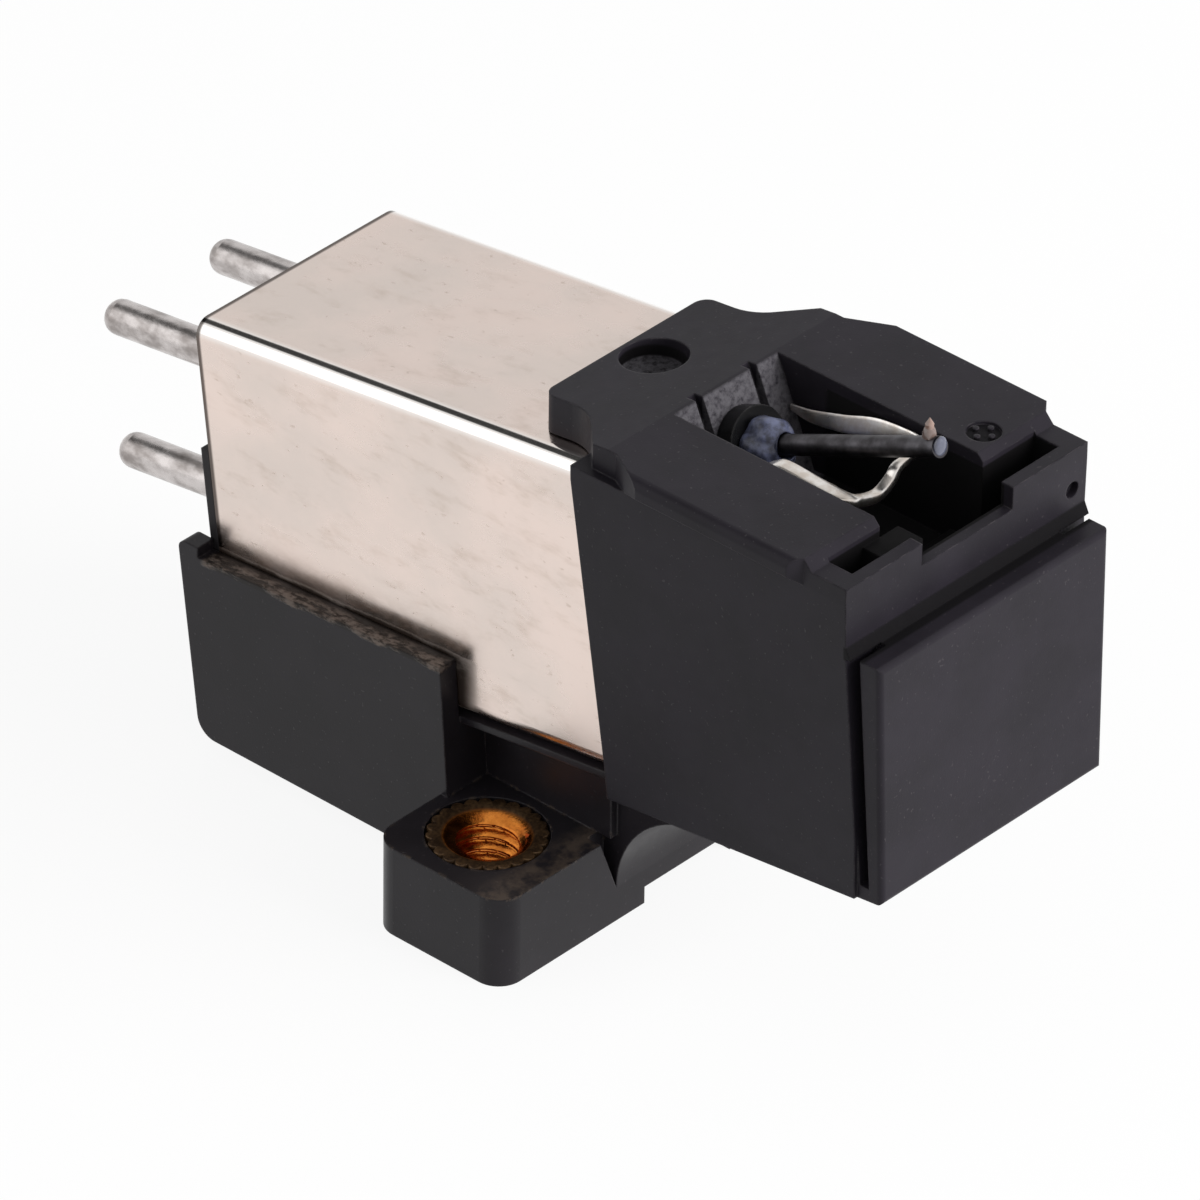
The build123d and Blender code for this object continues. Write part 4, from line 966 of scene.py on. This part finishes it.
@dataclass
class Suspension(SubAssembly):
    """The damper, the cantilever through it, and what the cantilever carries."""

    rubber: MouldedRubber = MouldedRubber("damper_rubber")
    alloy: PlainMetal = PlainMetal(
        "cantilever_alloy", Colour(92, 90, 94), Colour(58, 56, 58), 0.42, 0.8, 0.5, 0.004)
    magnet: PlainMetal = PlainMetal("magnet_grey", Colour(120, 118, 116), Colour(90, 88, 86), 0.5)
    wire: PlainMetal = PlainMetal("suspension_steel", Colour(210, 206, 200), Colour(170, 166, 160), 0.2)
    crystal: Crystal = Crystal("stylus_crystal", Colour(150, 122, 110), 0.3)
    glue: Crystal = Crystal("stylus_adhesive", Colour(112, 94, 88), 0.2)
    seal: Crystal = Crystal("bead_adhesive", Colour(82, 85, 102), 0.2)
    rise_deg: float = 23.9
    reach_mm: float = 7.6
    damper_mm: float = 1.05
    damper_half_mm: float = 0.65
    bore_mm: float = 0.46
    taper: float = 0.9
    lump_mm: float = 0.2
    damper_rings: int = 28
    damper_corners: int = 72
    droplet_mm: float = 0.24
    droplet_rise_mm: float = 0.42
    droplet_sunk_mm: float = 0.06
    droplet_rings: int = 9
    bead_mm: tuple[float, float, float] = (0.3, 0.16, 0.38)
    bead_rings: int = 13
    drop_corners: int = 32

    def build(self) -> None:
        """Makes the damper in place of its plain ring, the stylus's droplet and the tube's bead."""
        self.add_piece(self.damper(), Body.SUSPENSION, Slot.RUBBER, self.rubber.material(), "damper_ring")
        self.add_piece(self.droplet(), Body.CANTILEVER, Slot.CRYSTAL, self.glue.material())
        self.add_piece(self.bead(), Body.CANTILEVER, Slot.CRYSTAL, self.seal.material())

    def dress(self) -> None:
        """Gives the cantilever, magnet, wire and stylus their finishes."""
        self.paint(self.alloy.material(), "cantilever")
        self.paint(self.magnet.material(), "magnet")
        self.paint(self.wire.material(), "suspension_wire")
        self.paint(self.crystal.material(), "stylus_tip")

    def damper(self) -> bpy.types.Object:
        """A rounded, slightly lumpy rubber ring about the cantilever's pivot."""
        low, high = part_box("damper_ring")
        place = Matrix.Translation((low + high) / 2) @ Matrix.Rotation(
            math.radians(90.0 - self.rise_deg), 4, "X")
        rings = []
        middle = (self.damper_mm + self.bore_mm) / 2
        for turn in turns(self.damper_rings):
            height = self.damper_half_mm * self.squared(math.sin(turn))
            outward = self.squared(math.cos(turn))
            front = max(0.0, height / self.damper_half_mm)
            radius = middle + (self.damper_mm - self.bore_mm) / 2 * outward
            radius -= self.taper * (radius - self.bore_mm) * front ** 2
            ring = []
            for angle in turns(self.damper_corners):
                point = Vector((radius * math.cos(angle), radius * math.sin(angle), height))
                lump = (noise.noise(point * 1.7) - 0.6) * self.lump_mm * max(0.0, outward)
                grown = radius + lump
                point = Vector((grown * math.cos(angle), grown * math.sin(angle), height))
                ring.append(place @ (point * MM))
            rings.append(ring)
        made = surface_of_rings("rubber_damper", rings, closed=True)
        smooth(made, 180.0)
        return made

    @staticmethod
    def squared(share: float) -> float:
        """A sine or cosine pushed outwards, so that a circle becomes a rounded square."""
        return math.copysign(abs(share) ** 0.6, share)

    def droplet(self) -> bpy.types.Object:
        """A small mound of adhesive round the foot of the stylus."""
        low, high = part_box("stylus_tip")
        middle = Vector(((low.x + high.x) / 2, (low.y + high.y) / 2, low.z))
        rings = []
        for step in range(self.droplet_rings):
            lift = math.pi / 2 * step / (self.droplet_rings - 1)
            radius = self.droplet_mm * max(0.02, math.cos(lift)) ** 0.8
            height = self.droplet_rise_mm * math.sin(lift) - self.droplet_sunk_mm
            rings.append([middle + Vector((radius * math.cos(a), radius * math.sin(a), height)) * MM
                          for a in turns(self.drop_corners)])
        made = surface_of_rings("stylus_droplet", rings)
        smooth(made, 60.0)
        return made

    def bead(self) -> bpy.types.Object:
        """An egg of adhesive that closes the front end of the cantilever."""
        joint = next(j for j in self.frame["record"]["behaviour"]["joints"] if j["child"] == "cantilever")
        rise = math.radians(self.rise_deg)
        end = Vector(joint["pos_m"]) + Vector((0, -math.cos(rise), math.sin(rise))) * self.reach_mm * MM
        across, along, up = self.bead_mm
        rings = []
        for step in range(self.bead_rings):
            lift = math.pi * (step / (self.bead_rings - 1) - 0.5)
            spread = max(0.03, math.cos(lift))
            rings.append([end + Vector((across * spread * math.cos(a), along * spread * math.sin(a),
                                        up * math.sin(lift))) * MM for a in turns(self.drop_corners)])
        made = surface_of_rings("cantilever_bead", rings)
        smooth(made, 60.0)
        return made


@dataclass
class Studio:
    """Pale floor, soft lamps and the camera at the photograph's viewing angle."""

    azimuth_deg: float = -48.102
    elevation_deg: float = 34.224
    roll_deg: float = 0.778
    aim_mm: tuple[float, float, float] = (0.0, -2.0, 8.0)
    offset_mm: tuple[float, float] = (2.118, 2.070)
    distance_mm: float = 459.17
    lens_mm: float = 420.0
    sensor_mm: float = 36.0
    floor_mm: float = 1600.0
    floor_lit: Colour = Colour(170, 170, 170)
    floor_seen: Colour = Colour(246, 246, 246)
    lift: float = 0.9
    sky_level: float = 0.5
    sky_seen: float = 0.86
    panel: tuple[float, float, float] = (0.11, 0.552, 0.826)
    panel_edge: tuple[float, float] = (0.92, 0.955)
    card: tuple[float, float, float] = (-0.74, 0.57, 0.36)
    card_edge: tuple[float, float] = (0.84, 0.9)
    card_level: float = 0.5

    def build(self) -> None:
        """Makes the floor, the sky, the lamps and the camera."""
        bpy.context.scene.view_settings.view_transform = "Standard"
        self.floor()
        self.sky()
        self.lamp("key_softbox", (-300, 190, 170), (260, 200), 0.2)
        self.lamp("front_softbox", (130, -350, 160), (260, 220), 2.3)
        self.camera()

    def floor(self) -> None:
        """A wide pale floor that shows near white and keeps a soft shadow."""
        side = self.floor_mm / 2 * MM
        corners = [(-side, -side, 0), (side, -side, 0), (side, side, 0), (-side, side, 0)]
        mesh = bpy.data.meshes.new("floor")
        mesh.from_pydata(corners, [], [(0, 1, 2, 3)])
        floor = bpy.data.objects.new("floor", mesh)
        bpy.context.scene.collection.objects.link(floor)
        shader = Shader("pale_floor")
        seen = self.seen(shader)
        shader.set(Base_Color=shader.mix(seen, self.floor_lit, self.floor_seen), Roughness=0.7,
                   Specular_IOR_Level=0.2)
        glow = shader.add("ShaderNodeEmission", None, {"Color": (1, 1, 1, 1), "Strength": 1.0})
        blend = shader.add("ShaderNodeMixShader", None, {
            0: seen * self.lift, 1: Value(shader, shader.surface.outputs[0]), 2: glow})
        output = next(n for n in shader.tree.nodes if n.type == "OUTPUT_MATERIAL")
        shader.feed(output.inputs["Surface"], blend)
        mesh.materials.append(shader.material)

    @staticmethod
    def seen(nodes: Nodes) -> Value:
        """1 for rays from the camera and for those in reflections and glass, and 0 for the rest."""
        rays = [nodes.add("ShaderNodeLightPath", None, None, name)
                for name in ("Is Camera Ray", "Is Glossy Ray", "Is Transmission Ray")]
        return rays[0].or_else(rays[1]).or_else(rays[2])

    def sky(self) -> None:
        """A pale sky, dim for what it lights, with a dark panel overhead and a white card in reflections."""
        world = bpy.data.worlds.new("studio_sky")
        bpy.context.scene.world = world
        world.use_nodes = True
        nodes = Nodes(world.node_tree)
        background = next(n for n in nodes.tree.nodes if n.type == "BACKGROUND")
        towards = nodes.add("ShaderNodeTexCoord", None, None, "Generated")
        panel = nodes.vector("DOT_PRODUCT", towards, self.panel, "Value").between(*self.panel_edge)
        card = nodes.vector("DOT_PRODUCT", towards, self.card, "Value").between(*self.card_edge)
        seen = self.seen(nodes)
        shown = (self.sky_seen + card * self.card_level) * (1.0 - 0.95 * panel)
        level = self.sky_level + seen * (shown - self.sky_level)
        nodes.feed(background.inputs["Color"], Colour(255, 255, 255))
        nodes.feed(background.inputs["Strength"], level)

    def lamp(self, name: str, place_mm: Sequence[float], size_mm: Sequence[float], watts: float) -> None:
        """A softbox that faces the object and that the metal doesn't mirror.

        Args:
            name: The lamp's name.
            place_mm: Where its middle is.
            size_mm: Its width and height.
            watts: Its power.
        """
        light = bpy.data.lights.new(name, "AREA")
        light.shape = "RECTANGLE"
        light.size, light.size_y = size_mm[0] * MM, size_mm[1] * MM
        light.energy = watts
        lamp = bpy.data.objects.new(name, light)
        lamp.visible_glossy = False
        bpy.context.scene.collection.objects.link(lamp)
        lamp.location = Vector(place_mm) * MM
        aim = Vector(self.aim_mm) * MM - lamp.location
        lamp.rotation_euler = aim.to_track_quat("-Z", "Y").to_euler()

    def camera(self) -> None:
        """The camera, placed so that the object fills the picture as in the photograph."""
        azimuth, elevation = math.radians(self.azimuth_deg), math.radians(self.elevation_deg)
        back = Vector((math.sin(azimuth) * math.cos(elevation), -math.cos(azimuth) * math.cos(elevation),
                       math.sin(elevation)))
        right = Vector((math.cos(azimuth), math.sin(azimuth), 0))
        up = back.cross(right)
        cosine, sine = math.cos(math.radians(self.roll_deg)), math.sin(math.radians(self.roll_deg))
        right, up = right * cosine + up * sine, up * cosine - right * sine
        shift = right * self.offset_mm[0] - up * self.offset_mm[1] - back * self.distance_mm
        place = (Vector(self.aim_mm) - shift) * MM
        data = bpy.data.cameras.new("studio_camera")
        data.lens, data.sensor_width = self.lens_mm, self.sensor_mm
        data.clip_start, data.clip_end = 0.01, 20.0
        camera = bpy.data.objects.new("studio_camera", data)
        bpy.context.scene.collection.objects.link(camera)
        turn = Matrix((right, up, back)).transposed().to_4x4()
        camera.matrix_world = Matrix.Translation(place) @ turn
        bpy.context.scene.camera = camera


def main() -> None:
    """Loads the frame, builds and dresses each sub-assembly, and sets up the studio."""
    logging.basicConfig(level=logging.INFO, format="%(message)s")
    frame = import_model()
    for kind in (Bracket, ThreadedInserts, ShieldCan, Generator, StylusHolder, Suspension):
        part = kind(frame)
        part.build()
        part.dress()
    Studio().build()


if __name__ == "__main__":
    main()
